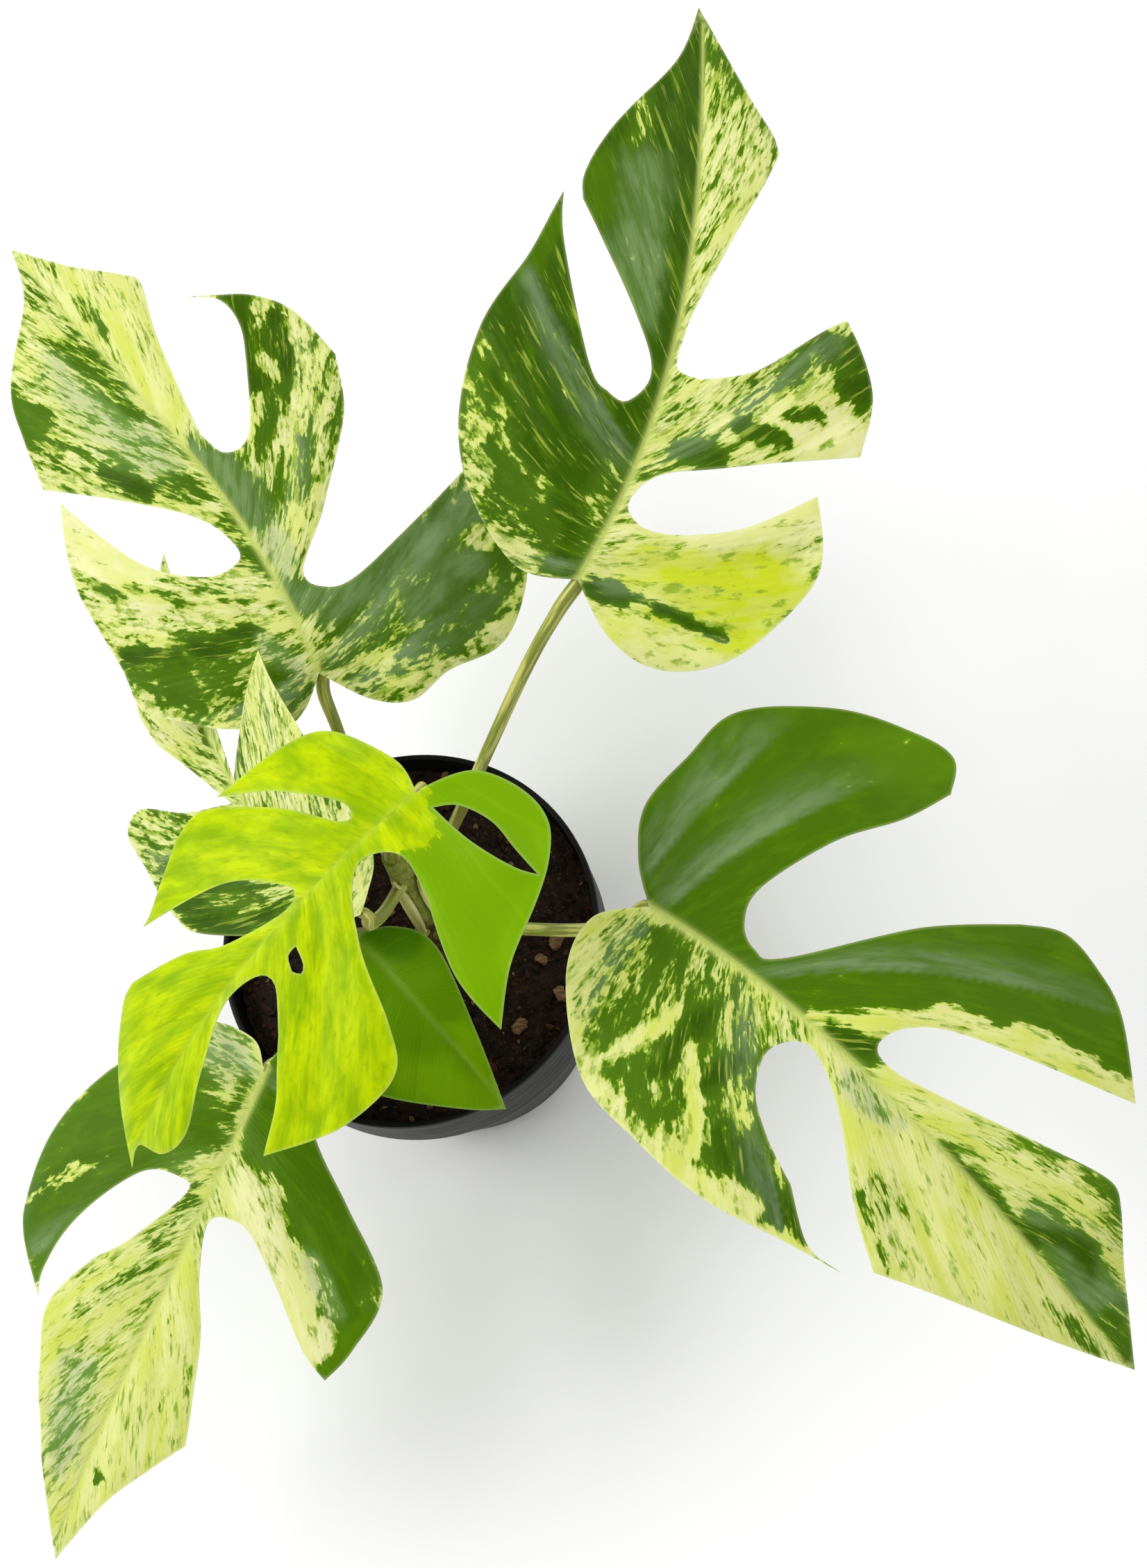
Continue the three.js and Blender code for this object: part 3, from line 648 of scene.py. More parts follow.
def make_black_plastic():
    """Moulded black plastic, faintly speckled, with a thin dusting and fine scuffs."""
    made, tree, skin = new_material("black_plastic", Specular_IOR_Level=0.14)
    where = object_place(tree)
    dust = use_group(tree, MOTTLE, Where=where, Size=55.0, Low=paint("08090a"), High=paint("121314"))
    speck = remap(tree, fine_noise(tree, where, 1500.0, 2.0), 0.68, 0.76)
    colour = blend_colour(tree, times(tree, speck, 0.25), dust[0], paint("605f5a"))
    tree.links.new(colour, skin.inputs["Base Color"])
    scuff = fine_noise(tree, stretch(tree, where, (60.0, 60.0, 900.0)), 1.0, 3.0)
    tree.links.new(remap(tree, scuff, 0.3, 0.7, 0.42, 0.56), skin.inputs["Roughness"])
    bump(tree, skin, fine_noise(tree, where, 2200.0, 1.0), 0.12, 0.0002)
    return made


def make_earth(low, high, warm):
    """Damp potting mix: dark, with warm fragments, under the tint of each crumb."""
    made, tree, skin = new_material("potting_mix", Specular_IOR_Level=0.25)
    where = object_place(tree)
    base = use_group(tree, MOTTLE, Where=where, Size=260.0, Low=low, High=high)
    bits = remap(tree, fine_noise(tree, where, 900.0, 1.0), 0.58, 0.66)
    colour = blend_colour(tree, times(tree, bits, 0.5), base[0], warm)
    tint = attribute(tree, "tint")
    colour = blend_colour(tree, tint["Alpha"], colour, tint["Color"])
    tree.links.new(colour, skin.inputs["Base Color"])
    tree.links.new(remap(tree, base[1], 0.0, 1.0, 0.75, 0.95), skin.inputs["Roughness"])
    bump(tree, skin, fine_noise(tree, where, 1600.0, 4.0), 0.8, 0.0006)
    return made


def make_bark(name, low, high):
    """Dry bark, with grain along the chip."""
    made, tree, skin = new_material(name, Specular_IOR_Level=0.2, Roughness=0.9)
    where = object_place(tree)
    grain = stretch(tree, where, (1.0, 4.5, 3.0), rotation=(0.3, 0.2, 0.6))
    base = use_group(tree, MOTTLE, Where=grain, Size=330.0, Low=low, High=high)
    tree.links.new(base[0], skin.inputs["Base Color"])
    bump(tree, skin, base[1], 0.8, 0.0006)
    return made


def make_stalk_skin(name, main, pale, rusty, rust_amount):
    """A stalk: olive, with paler and rusty lines that run along it."""
    made, tree, skin = new_material(name, Specular_IOR_Level=0.4)
    turn, reach, _ = add_node(tree, "ShaderNodeSeparateXYZ", Vector=own_uv(tree, "length")).outputs
    angle = times(tree, turn, 2 * math.pi)
    around = add_node(tree, "ShaderNodeCombineXYZ", X=calc(tree, "COSINE", angle),
                      Y=calc(tree, "SINE", angle), Z=times(tree, reach, 0.03)).outputs[0]
    line = fine_noise(tree, around, 1.3, 3.0)
    specks = fine_noise(tree, stretch(tree, around, (2.5, 2.5, 12.0)), 1.0, 2.0)
    colour = blend_colour(tree, remap(tree, line, 0.47, 0.6), main, pale)
    rust = remap(tree, line, 0.44, 0.34)
    colour = blend_colour(tree, times(tree, rust, rust_amount), colour, rusty)
    colour = blend_colour(tree, remap(tree, specks, 0.6, 0.72, 0.0, 0.35), colour, rusty)
    tree.links.new(colour, skin.inputs["Base Color"])
    tree.links.new(remap(tree, specks, 0.3, 0.7, 0.38, 0.52), skin.inputs["Roughness"])
    bump(tree, skin, line, 0.4, 0.0005)
    return made


def make_stem_skin():
    """The stem: corky brown and scarred near the soil, olive and smooth higher up."""
    made, tree, skin = new_material("stem_skin", Specular_IOR_Level=0.3)
    where = object_place(tree)
    cork = use_group(tree, MOTTLE, Where=where, Size=320.0, Low=paint("2c1c12"), High=paint("6e4c2e"))
    olive = use_group(tree, MOTTLE, Where=where, Size=180.0, Low=paint("6b7728"), High=paint("959c44"))
    height = add_node(tree, "ShaderNodeSeparateXYZ", Vector=where).outputs[2]
    ragged = times_plus(tree, fine_noise(tree, where, 260.0, 3.0), 0.012, height)
    change = (SOIL_LEVEL + CORK_HEIGHT) * MM
    young = remap(tree, ragged, change - 0.003, change + 0.003)
    tree.links.new(blend_colour(tree, young, cork[0], olive[0]), skin.inputs["Base Color"])
    tree.links.new(remap(tree, young, 0.0, 1.0, 0.8, 0.45), skin.inputs["Roughness"])
    bump(tree, skin, cork[1], 0.5, 0.0005)
    return made


# ---------------------------------------------------------------- making pieces

def deselect_all():
    if bpy.context.mode != "OBJECT":
        bpy.ops.object.mode_set(mode="OBJECT")
    bpy.ops.object.select_all(action="DESELECT")


def make_active(piece):
    deselect_all()
    piece.select_set(True)
    bpy.context.view_layer.objects.active = piece


def add_object(name, data):
    made = bpy.data.objects.new(name, data)
    bpy.context.scene.collection.objects.link(made)
    return made


def piece_from(name, vertices, faces, edges=()):
    """A piece whose mesh is given in millimetres."""
    mesh = bpy.data.meshes.new(name)
    mesh.from_pydata((np.array(vertices, float) * MM).tolist(), edges, [list(map(int, f)) for f in faces])
    mesh.update()
    return add_object(name, mesh)


def finish_piece(piece, material, replaced, smooth_angle=40):
    """Gives a piece its material, its place on the frame and the CAD nodes that it stands for."""
    piece.data.materials.clear()
    piece.data.materials.append(material)
    make_active(piece)
    bpy.ops.object.shade_smooth_by_angle(angle=math.radians(smooth_angle))
    deselect_all()
    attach(piece, "root")
    for node in replaced:
        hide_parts(node)
    return piece


def set_points(piece, name, values):
    """Four values at each point of a piece, for its material to read."""
    layer = piece.data.attributes.new(name, "FLOAT_COLOR", "POINT")
    layer.data.foreach_set("color", np.ascontiguousarray(values, np.float32).ravel())


def curve_point(before, start, end, after, t):
    """A point between start and end, on the smooth curve through all four."""
    v0, v1 = (end - before) / 2, (after - start) / 2
    return ((2 * start - 2 * end + v0 + v1) * t ** 3
            + (-3 * start + 3 * end - 2 * v0 - v1) * t ** 2 + v0 * t + start)


def around(radius, step, count):
    """Where one of a number of even steps round a circle lies."""
    angle = 2 * math.pi * step / count
    return radius * math.cos(angle), radius * math.sin(angle)


# ---------------------------------------------------------------- leaf blades

def smooth_run(run):
    """Short steps along the smooth curve through a run's points."""
    pts = np.array(run, float)
    last = len(pts) - 1
    out = []
    for i in range(last):
        before, start, end, after = pts[max(i - 1, 0)], pts[i], pts[i + 1], pts[min(i + 2, last)]
        steps = max(2, math.ceil(np.linalg.norm(end - start) / BLADE_STEP))
        out += [curve_point(before, start, end, after, t) for t in np.arange(steps) / steps]
    return out


def outline_loop(runs):
    return np.array([point for run in runs for point in smooth_run(run)])


def inside(points, loop):
    """Which points lie inside a closed loop."""
    x, y = points[:, :1], points[:, 1:]
    ax, ay = loop[:, 0], loop[:, 1]
    bx, by = np.roll(ax, -1), np.roll(ay, -1)
    crossing = (ay > y) != (by > y)
    with np.errstate(divide="ignore", invalid="ignore"):
        at = ax + (y - ay) / (by - ay) * (bx - ax)
    return (crossing & (x < at)).sum(1) % 2 == 1


def distance_to(points, loops):
    """How far each point is from the nearest edge of the loops."""
    nearest = np.full(len(points), 1e9)
    for loop in loops:
        nxt = np.roll(loop, -1, 0)
        for a, b in zip(loop, nxt):
            run = b - a
            t = np.clip(((points - a) @ run) / max(run @ run, 1e-9), 0, 1)
            nearest = np.minimum(nearest, np.hypot(*(points - a - t[:, None] * run).T))
    return nearest


def midrib_side(bend, x):
    """How far the midrib bends sideways at a place along the leaf."""
    share = x / bend.length
    return 4 * share * (1 - share) * (bend.bow + bend.lean * (2 * share - 1))


def blade_height(bend, x, y):
    """How high a leaf's bent sheet is over the flat of the leaf."""
    share = x / bend.length
    across = y - midrib_side(bend, x)
    away = np.hypot(across, RIB_WIDTH) - RIB_WIDTH
    return bend.arch * 4 * share * (1 - share) + bend.fold * away - bend.curl * across ** 2 / 100


def vein_flow(bend, x, y):
    """Which vein a point lies on, how far out along it, and how far across from the midrib."""
    across = y - midrib_side(bend, x)
    out = np.abs(across)
    spread = 1 + VEIN_FAN * out + VEIN_CURVE_FAN * out ** 2
    start = (x - VEIN_TURN * out - VEIN_CURVE * out ** 2) / spread
    leaving = VEIN_TURN + VEIN_FAN * start
    slope = leaving + (VEIN_CURVE + VEIN_CURVE_FAN * start) * out
    return np.arcsinh(leaving) / VEIN_FAN, out * np.sqrt(1 + slope ** 2), across


def blade_points(loops, bend):
    """The inner points of a leaf's mesh: rows by the midrib, a row by the margin, and a lattice."""
    outer = loops[0]
    low, high = outer.min(0), outer.max(0)
    rim_inset, row_height = 0.75, BLADE_STEP * 0.866
    rows = []
    for x in np.arange(1.0, bend.length, BLADE_STEP):
        rows += [(x, midrib_side(bend, x) + across) for across in RIB_ROWS]
    rim = []
    for loop in loops:
        along = np.roll(loop, -1, 0) - np.roll(loop, 1, 0)
        normal = np.stack([along[:, 1], -along[:, 0]], 1) / np.linalg.norm(along, axis=1)[:, None]
        for side in (1, -1):
            rim.append(loop + side * rim_inset * normal)
    lattice = []
    for row, y in enumerate(np.arange(low[1], high[1], row_height)):
        for x in np.arange(low[0], high[0], BLADE_STEP):
            lattice.append((x + (row % 2) * BLADE_STEP / 2, y))
    rows, rim, lattice = np.array(rows), np.concatenate(rim), np.array(lattice)

    def kept(points, clear, off_rib):
        """The points in the leaf that are clear of its edges, and of the rows by the midrib."""
        points = points[inside(points, outer)]
        for hole in loops[1:]:
            points = points[~inside(points, hole)]
        points = points[distance_to(points, loops) > clear]
        if off_rib:
            off = np.abs(points[:, 1] - midrib_side(bend, points[:, 0]))
            points = points[~((points[:, 0] > 0) & (off < RIB_ROWS[-1] + 0.6))]
        return points

    return np.concatenate([kept(rows, 1.05, False), kept(rim, 0.7, True), kept(lattice, 1.4, True)])


def triangulate(loops, inner):
    """The flat leaf in triangles that keep its outline and leave its holes open."""
    points, edges = [], []
    for loop in loops:
        first, count = len(points), len(loop)
        points += [tuple(p) for p in loop]
        edges += [(first + i, first + (i + 1) % count) for i in range(count)]
    points += [tuple(p) for p in inner]
    flat, _, triangles, *_ = delaunay_2d_cdt([Vector(p) for p in points], edges, [], 1, 1e-4)
    flat = np.array([tuple(p) for p in flat])
    triangles = np.array(triangles)
    for hole in loops[1:]:
        triangles = triangles[~inside(flat[triangles].mean(1), hole)]
    a, b, c = flat[triangles[:, 0]], flat[triangles[:, 1]], flat[triangles[:, 2]]
    turn = (b[:, 0] - a[:, 0]) * (c[:, 1] - a[:, 1]) - (b[:, 1] - a[:, 1]) * (c[:, 0] - a[:, 0])
    triangles[turn < 0] = triangles[turn < 0][:, ::-1]
    return flat, triangles


def drift(x, y, rate, layer):
    """A smooth random push of the points sideways. A higher rate makes smaller swirls."""
    pushes = [noise.noise_vector(Vector((px * rate, py * rate, layer))) for px, py in zip(x, y)]
    return np.array([tuple(push)[:2] for push in pushes])


def wander(x, y, rate, layer):
    """A smooth random rise and fall over the points. A higher rate makes shorter waves."""
    return np.array([noise.noise(Vector((px * rate, py * rate, layer))) for px, py in zip(x, y)])


def tone_map(leaf, x, y):
    """The tone at each point: the half's own tone, under the patches that lie over it."""
    bend = leaf["bend"]
    across = y - midrib_side(bend, x)
    left = np.clip(across / 0.8 + 0.5, 0, 1)[:, None]
    ground = [np.array(TONES[tone]) for tone in leaf["halves"]]
    tones = left * ground[0] + (1 - left) * ground[1]
    nudged = np.stack([x, y], 1) + 1.1 * drift(x, y, 0.32, 70)
    strayed = nudged + 3.4 * drift(x, y, 0.11, 30)
    for (x0, y0), (x1, y1), width, tone in leaf["patches"]:
        start, run = np.array((x0, y0), float), np.array((x1 - x0, y1 - y0), float)
        here = (strayed if width > 2.5 else nudged) - start
        t = np.clip(here @ run / (run @ run), 0, 1)
        away = np.hypot(*(here - t[:, None] * run).T) + 0.3 * width * (2 * t - 1) ** 2
        core, reach = 0.35 * width, 1.15 * width + 1.8
        cover = np.clip((reach - away) / (reach - core), 0, 1)
        cover = cover * cover * (3 - 2 * cover)
        middle = start + run / 2
        on_left = middle[1] > midrib_side(bend, middle[0])
        cover = cover * (left[:, 0] if on_left else 1 - left[:, 0])
        tones = tones * (1 - cover[:, None]) + np.array(TONES[tone]) * cover[:, None]
    return tones


def over_soil(point):
    return Vector((point[0], point[1], SOIL_LEVEL + point[2]))


def leaf_place(leaf):
    turn = Matrix()
    for angle, sign, axis in zip(leaf["turn"], (1, -1, 1), "ZYX"):
        turn = turn @ Matrix.Rotation(sign * math.radians(angle), 4, axis)
    return Matrix.Translation(over_soil(leaf["at"])) @ turn


def make_blade(name, leaf, seed):
    """A leaf's blade as a closed thin piece, and how far it is shifted to lie in its node's box."""
    bend = leaf["bend"]
    loops = [outline_loop(leaf["outline"])] + [outline_loop(hole) for hole in leaf.get("holes", [])]
    flat, triangles = triangulate(loops, blade_points(loops, bend))
    x, y = flat.T
    edge = distance_to(flat, loops)
    vein, out, across = vein_flow(bend, x, y)
    share = np.clip(x / bend.length, 0, 1)
    aside = np.abs(across)
    quilt = QUILT * np.abs(np.sin(np.pi * vein / VEIN_SPACING)) ** 0.7
    quilt += BROAD_QUILT * np.abs(np.sin(np.pi * (vein + 3) / (2.4 * VEIN_SPACING))) ** 0.8
    # painted sheen: a band on the base side of each lobe crease, stored in the places attribute for the skin
    # to paint
    sheen = np.zeros(len(flat))
    for vein_start in LOBE_VEINS:
        at_vein = np.arcsinh(VEIN_TURN + VEIN_FAN * vein_start) / VEIN_FAN
        beside = (at_vein - vein) * (1 + 0.6 * VEIN_FAN * aside)
        quilt -= CREASE_DEPTH * np.exp(-(np.abs(beside) / CREASE_WIDTH) ** 1.2)
        lit = np.clip(beside / 0.8, 0, 1) * np.exp(-(np.clip(beside - 2, 0, None) / 4) ** 2)
        sheen = np.maximum(sheen, lit)
    off_rib = np.clip(aside / 6, 0, 1)
    sheen *= off_rib * np.clip(edge / 3, 0, 1) * np.clip((62 - aside) / 25, 0, 1)
    quilt *= off_rib * np.clip(edge / 4, 0, 1)
    waves = RIPPLE * wander(x, y, 0.028, seed * 7.3) + FLUTTER * wander(x, y, 0.075, seed * 3.1 + 50)
    surface = blade_height(bend, x, y) + np.clip(aside / 14, 0, 1) * waves + quilt
    half = (MARGIN_THICKNESS + (BLADE_THICKNESS - MARGIN_THICKNESS) * np.clip(edge / 1.6, 0, 1)) / 2
    rib = np.exp(-(across / (0.4 + 0.75 * (1 - share))) ** 2) * (x > -1)
    groove = RIB_GROOVE * rib * (1 - 0.6 * share)
    keel = RIB_KEEL * rib * (1 - 0.8 * share) * np.clip(edge / 2, 0, 1)
    top = np.stack([x, y, surface + half - groove], 1)
    bottom = np.stack([x, y, surface - half - keel], 1)

    count = len(flat)
    ends = np.concatenate([triangles[:, [0, 1]], triangles[:, [1, 2]], triangles[:, [2, 0]]])
    seen = {tuple(e) for e in ends}
    rim = [(a, b) for a, b in ends if (b, a) not in seen]
    faces = [tuple(t) for t in triangles] + [tuple(t[::-1] + count) for t in triangles]
    faces += [(b, a, a + count, b + count) for a, b in rim]
    place = np.array(leaf_place(leaf))
    points = np.concatenate([top, bottom]) @ place[:3, :3].T + place[:3, 3]

    used = np.zeros(len(points), bool)
    used[np.concatenate([np.array(f) for f in faces])] = True
    index = np.cumsum(used) - 1
    faces = [tuple(index[list(f)]) for f in faces]
    low, high = (np.array(corner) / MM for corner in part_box(name))
    points = points[used]
    shift = (low + high - points.min(0) - points.max(0)) / 2
    points += shift
    piece = piece_from(name + "_blade", points, faces)

    both = np.concatenate([np.arange(count)] * 2)[used]
    set_points(piece, "tones", tone_map(leaf, x, y)[both])
    margin = np.clip(1 - edge / 0.75, 0, 1)
    places = np.stack([margin, np.clip(rib * 1.2, 0, 1), sheen, np.ones(count)], 1)
    set_points(piece, "places", places[both])
    uv = piece.data.uv_layers.new(name="veins")
    corners = np.zeros((len(piece.data.loops), 2), np.float32)
    for face in piece.data.polygons:
        own = both[list(face.vertices)]
        side = 400.0 if across[own].mean() < 0 else 0.0
        for loop, v in zip(face.loop_indices, own):
            corners[loop] = (vein[v] + side + seed * 60, out[v])
    uv.data.foreach_set("uv", corners.ravel())
    return piece, Vector(shift)


# ---------------------------------------------------------------- stalks and stem

def smooth_path(points, spacing):
    """Evenly spaced points on the smooth curve through some points, and its length."""
    steps, last = 24, len(points) - 1
    fine = []
    for i in range(last):
        near = [points[min(max(i + k, 0), last)] for k in (-1, 0, 1, 2)]
        fine += [curve_point(*near, step / steps) for step in range(steps)]
    fine.append(points[-1])
    travelled = [0.0]
    for p, q in zip(fine, fine[1:]):
        travelled.append(travelled[-1] + (q - p).length)
    count = max(3, round(travelled[-1] / spacing))
    out = []
    for want in (travelled[-1] * k / count for k in range(count + 1)):
        i = min(max(np.searchsorted(travelled, want) - 1, 0), len(fine) - 2)
        share = (want - travelled[i]) / max(travelled[i + 1] - travelled[i], 1e-9)
        out.append(fine[i].lerp(fine[i + 1], min(share, 1)))
    return out, travelled[-1]


def sweep(name, points, radius, sides=20, spacing=1.6):
    """A closed round piece along a path. radius(share, angle, height) gives its section."""
    path, length = smooth_path(points, spacing)
    vertices, rows = [], len(path)
    tangents = [(path[min(i + 1, rows - 1)] - path[max(i - 1, 0)]).normalized() for i in range(rows)]
    side = tangents[0].orthogonal().normalized()
    for i, (centre, along) in enumerate(zip(path, tangents)):
        side = (side - along * side.dot(along)).normalized()
        other = along.cross(side)
        for k in range(sides):
            angle = 2 * math.pi * k / sides
            r = radius(i / (rows - 1), angle, centre.z)
            vertices.append(centre + side * (r * math.cos(angle)) + other * (r * math.sin(angle)))
    faces = []
    for i in range(rows - 1):
        for k in range(sides):
            a, b = i * sides + k, i * sides + (k + 1) % sides
            faces.append((a, b, b + sides, a + sides))
    for row, order in ((0, -1), (rows - 1, 1)):
        vertices.append(path[row] + tangents[row] * (0.3 * order * radius(row / (rows - 1), 0, path[row].z)))
        ring = [row * sides + k for k in range(sides)][::order]
        faces += [(ring[k], ring[(k + 1) % sides], len(vertices) - 1) for k in range(sides)]
    piece = piece_from(name, [tuple(v) for v in vertices], faces)
    uv = piece.data.uv_layers.new(name="length")
    for face in piece.data.polygons:
        own = [min(v, rows * sides - 1) for v in face.vertices]
        around = [v % sides for v in own]
        wraps = max(around) - min(around) > sides / 2
        for loop, v, k in zip(face.loop_indices, own, around):
            turned = k + sides if wraps and k < sides / 2 else k
            uv.data[loop].uv = (turned / sides, (v // sides) * length / (rows - 1))
    return piece


def stem_at(height):
    """The middle of the stem at a height over the soil."""
    for low, high in zip(STEM_PATH, STEM_PATH[1:]):
        if high[2] >= height:
            share = (height - low[2]) / (high[2] - low[2])
            return over_soil([a + (b - a) * share for a, b in zip(low, high)])
    return over_soil(STEM_PATH[-1])


def make_stalk(name, leaf, shift):
    """A stalk from the stem to its leaf, where it runs on as the root of the midrib."""
    height, passing = leaf["stalk"]
    place, bend = leaf_place(leaf), leaf["bend"]
    points = [stem_at(height)] + [over_soil(p) for p in passing]
    for x, under in ((-0.5, 2.6), (3, 2.0), (9, 1.4), (18, 0.9)):
        y = midrib_side(bend, x)
        points.append(place @ Vector((x, y, blade_height(bend, x, y) - under)) + shift)
    reach = sum((b - a).length for a, b in zip(points, points[1:]))
    joint = 1 - 20 / reach

    def radius(share, angle, _):
        r = PETIOLE_DIAMETER / 2 * (1 + 0.3 * math.exp(-(share / 0.08) ** 2))
        r *= 1 + 0.12 * math.exp(-((share - joint + 4 / reach) / (7 / reach)) ** 2)
        if share > joint:
            r *= 1 - 0.8 * ((share - joint) / (1 - joint)) ** 0.7
        channel = max(0.0, math.cos(angle)) ** 6
        return r * (1 - 0.16 * channel * (share < joint))

    return sweep(name, points, radius)


def make_stem():
    """The cane, ringed where old leaves stood."""
    def radius(share, angle, z):
        height = z - SOIL_LEVEL
        r = STEM_DIAMETER / 2 * (0.97 - 0.12 * max(0.0, height) / 55)
        for ring in STEM_RINGS:
            r += 0.42 * math.exp(-((height - ring) / 1.1) ** 2)
        return r + 0.16 * noise.noise(Vector((2 * math.cos(angle), 2 * math.sin(angle), z * 0.35)))

    return sweep("stem_cane", [over_soil(p) for p in STEM_PATH], radius, sides=28, spacing=0.9)


def make_sheath(name, sheath):
    """One pale strap of an old stalk base, hugging the stem and tapering to both ends."""
    bearing = math.radians(sheath["facing"])
    rows, columns = 30, 9
    vertices = []
    for layer in (0, 1):
        for i in range(rows + 1):
            share = i / rows
            height = sheath["from"] + (sheath["to"] - sheath["from"]) * share
            centre = stem_at(height)
            width = SHEATH_WIDTH * (0.22 + 0.78 * math.sin(math.pi * min(1, 0.12 + share * 0.95)) ** 0.6)
            lift = STEM_DIAMETER / 2 + GAP + 0.1 + layer * SHEATH_THICKNESS + 0.5 * share ** 6
            for k in range(columns + 1):
                angle = bearing + (k / columns - 0.5) * width / (STEM_DIAMETER / 2 + 0.6)
                thinned = 0.55 * abs(2 * k / columns - 1) ** 3
                r = lift - layer * SHEATH_THICKNESS * thinned
                vertices.append(centre + Vector((math.cos(angle), math.sin(angle), 0)) * r)
    size = (rows + 1) * (columns + 1)
    faces = []
    for i in range(rows):
        for k in range(columns):
            a = i * (columns + 1) + k
            b, c, d = a + 1, a + columns + 2, a + columns + 1
            faces += [(a + size, b + size, c + size, d + size), (d, c, b, a)]
    ring = list(range(columns + 1))
    ring += [i * (columns + 1) + columns for i in range(1, rows + 1)]
    ring += [rows * (columns + 1) + k for k in range(columns - 1, -1, -1)]
    ring += [i * (columns + 1) for i in range(rows - 1, 0, -1)]
    faces += [(a, b, b + size, a + size) for a, b in zip(ring, ring[1:] + ring[:1])]
    piece = piece_from(name + "_strap", [tuple(v) for v in vertices], faces)
    uv = piece.data.uv_layers.new(name="length")
    for loop in piece.data.loops:
        v = loop.vertex_index % size
        uv.data[loop.index].uv = ((v % (columns + 1)) / columns, v // (columns + 1) * 0.9)
    return piece


# ---------------------------------------------------------------- pot

COLLAR_BOTTOM = POT_HEIGHT - COLLAR_HEIGHT
COLLAR_OUTER = RIM_DIAMETER / 2 - LIP_WIDTH / 2
BODY_TOP_RADIUS = COLLAR_OUTER - COLLAR_STEP
FLOOR_TOP = FLOOR_RISE + POT_WALL


def body_radius(z):
    return BASE_DIAMETER / 2 + (BODY_TOP_RADIUS - BASE_DIAMETER / 2) * z / COLLAR_BOTTOM


def inner_radius(z):
    return (COLLAR_OUTER if z > COLLAR_BOTTOM else body_radius(z)) - POT_WALL


def make_pot():
    """The wall's section is drawn from the middle of the floor, out, up and back, then spun."""
    lip, top = POT_HEIGHT - LIP_HEIGHT, POT_HEIGHT
    shoulder = COLLAR_BOTTOM + POT_WALL
    rim, foot = RIM_DIAMETER / 2, BASE_DIAMETER / 2
    collar, mouth = COLLAR_OUTER, COLLAR_OUTER - POT_WALL
    section = [
        (0, FLOOR_RISE), (foot - 6, FLOOR_RISE), (foot - 5, 0.3), (foot - 3.5, 0), (foot - 1.0, 0),
        (foot - 0.3, 0.3), (foot, 1.0), (body_radius(20), 20), (body_radius(40), 40),
        (BODY_TOP_RADIUS, COLLAR_BOTTOM - 0.2), (collar - 0.2, COLLAR_BOTTOM),
        (collar, COLLAR_BOTTOM + 0.3), (collar, lip - 0.4), (collar + 0.15, lip), (rim - 0.1, lip + 0.25),
        (rim, lip + 0.7), (rim, top - 0.7), (rim - 0.2, top - 0.2), (rim - 0.6, top), (mouth + 0.6, top),
        (mouth + 0.15, top - 0.2), (mouth, top - 0.7), (mouth, shoulder + 0.3),
        (BODY_TOP_RADIUS - POT_WALL, shoulder - 0.2), (inner_radius(30), 30),
        (inner_radius(FLOOR_TOP + 0.2), FLOOR_TOP + 0.2), (foot - 6, FLOOR_TOP), (0, FLOOR_TOP),
    ]
    steps = [(i, i + 1) for i in range(len(section) - 1)]
    pot = piece_from("nursery_pot", [(r, 0, z) for r, z in section], [], steps)
    make_active(pot)
    bpy.ops.object.mode_set(mode="EDIT")
    bpy.ops.mesh.select_all(action="SELECT")
    bpy.ops.mesh.spin(steps=144, angle=2 * math.pi, center=(0, 0, 0), axis=(0, 0, 1))
    bpy.ops.mesh.select_all(action="SELECT")
    bpy.ops.mesh.remove_doubles(threshold=0.00002)
    bpy.ops.mesh.normals_make_consistent(inside=False)
    bpy.ops.object.mode_set(mode="OBJECT")

    ring = BASE_DIAMETER / 2 - POT_WALL - DRAIN_HOLE_DIAMETER
    deselect_all()
    for i in range(DRAIN_HOLE_COUNT):
        bpy.ops.mesh.primitive_cylinder_add(
            vertices=40, radius=DRAIN_HOLE_DIAMETER / 2 * MM, depth=12 * MM,
            location=(*around(ring * MM, i, DRAIN_HOLE_COUNT), 0))
    punches = [o for o in bpy.context.scene.objects if o.name.startswith("Cylinder")]
    deselect_all()
    for punch in punches:
        punch.select_set(True)
    bpy.context.view_layer.objects.active = punches[0]
    bpy.ops.object.join()
    punch = bpy.context.view_layer.objects.active
    cut = pot.modifiers.new("drain_holes", "BOOLEAN")
    cut.operation, cut.solver, cut.object = "DIFFERENCE", "EXACT", punch
    make_active(pot)
    bpy.ops.object.modifier_apply(modifier=cut.name)
    bpy.data.objects.remove(punch)
    return pot


# ---------------------------------------------------------------- soil and bark

def soil_top(x, y):
    """The soil's rough level: a low crown with soft bumps that settle towards the wall."""
    share = min(1, math.hypot(x, y) / inner_radius(SOIL_LEVEL))
    lumps = math.sin(x * 0.31 + 1) * math.cos(y * 0.27) + math.sin(x * 0.13 - y * 0.23)
    return SOIL_LEVEL + SOIL_CROWN * (1 - share ** 2) + SOIL_BUMP * lumps * (1 - share ** 6)


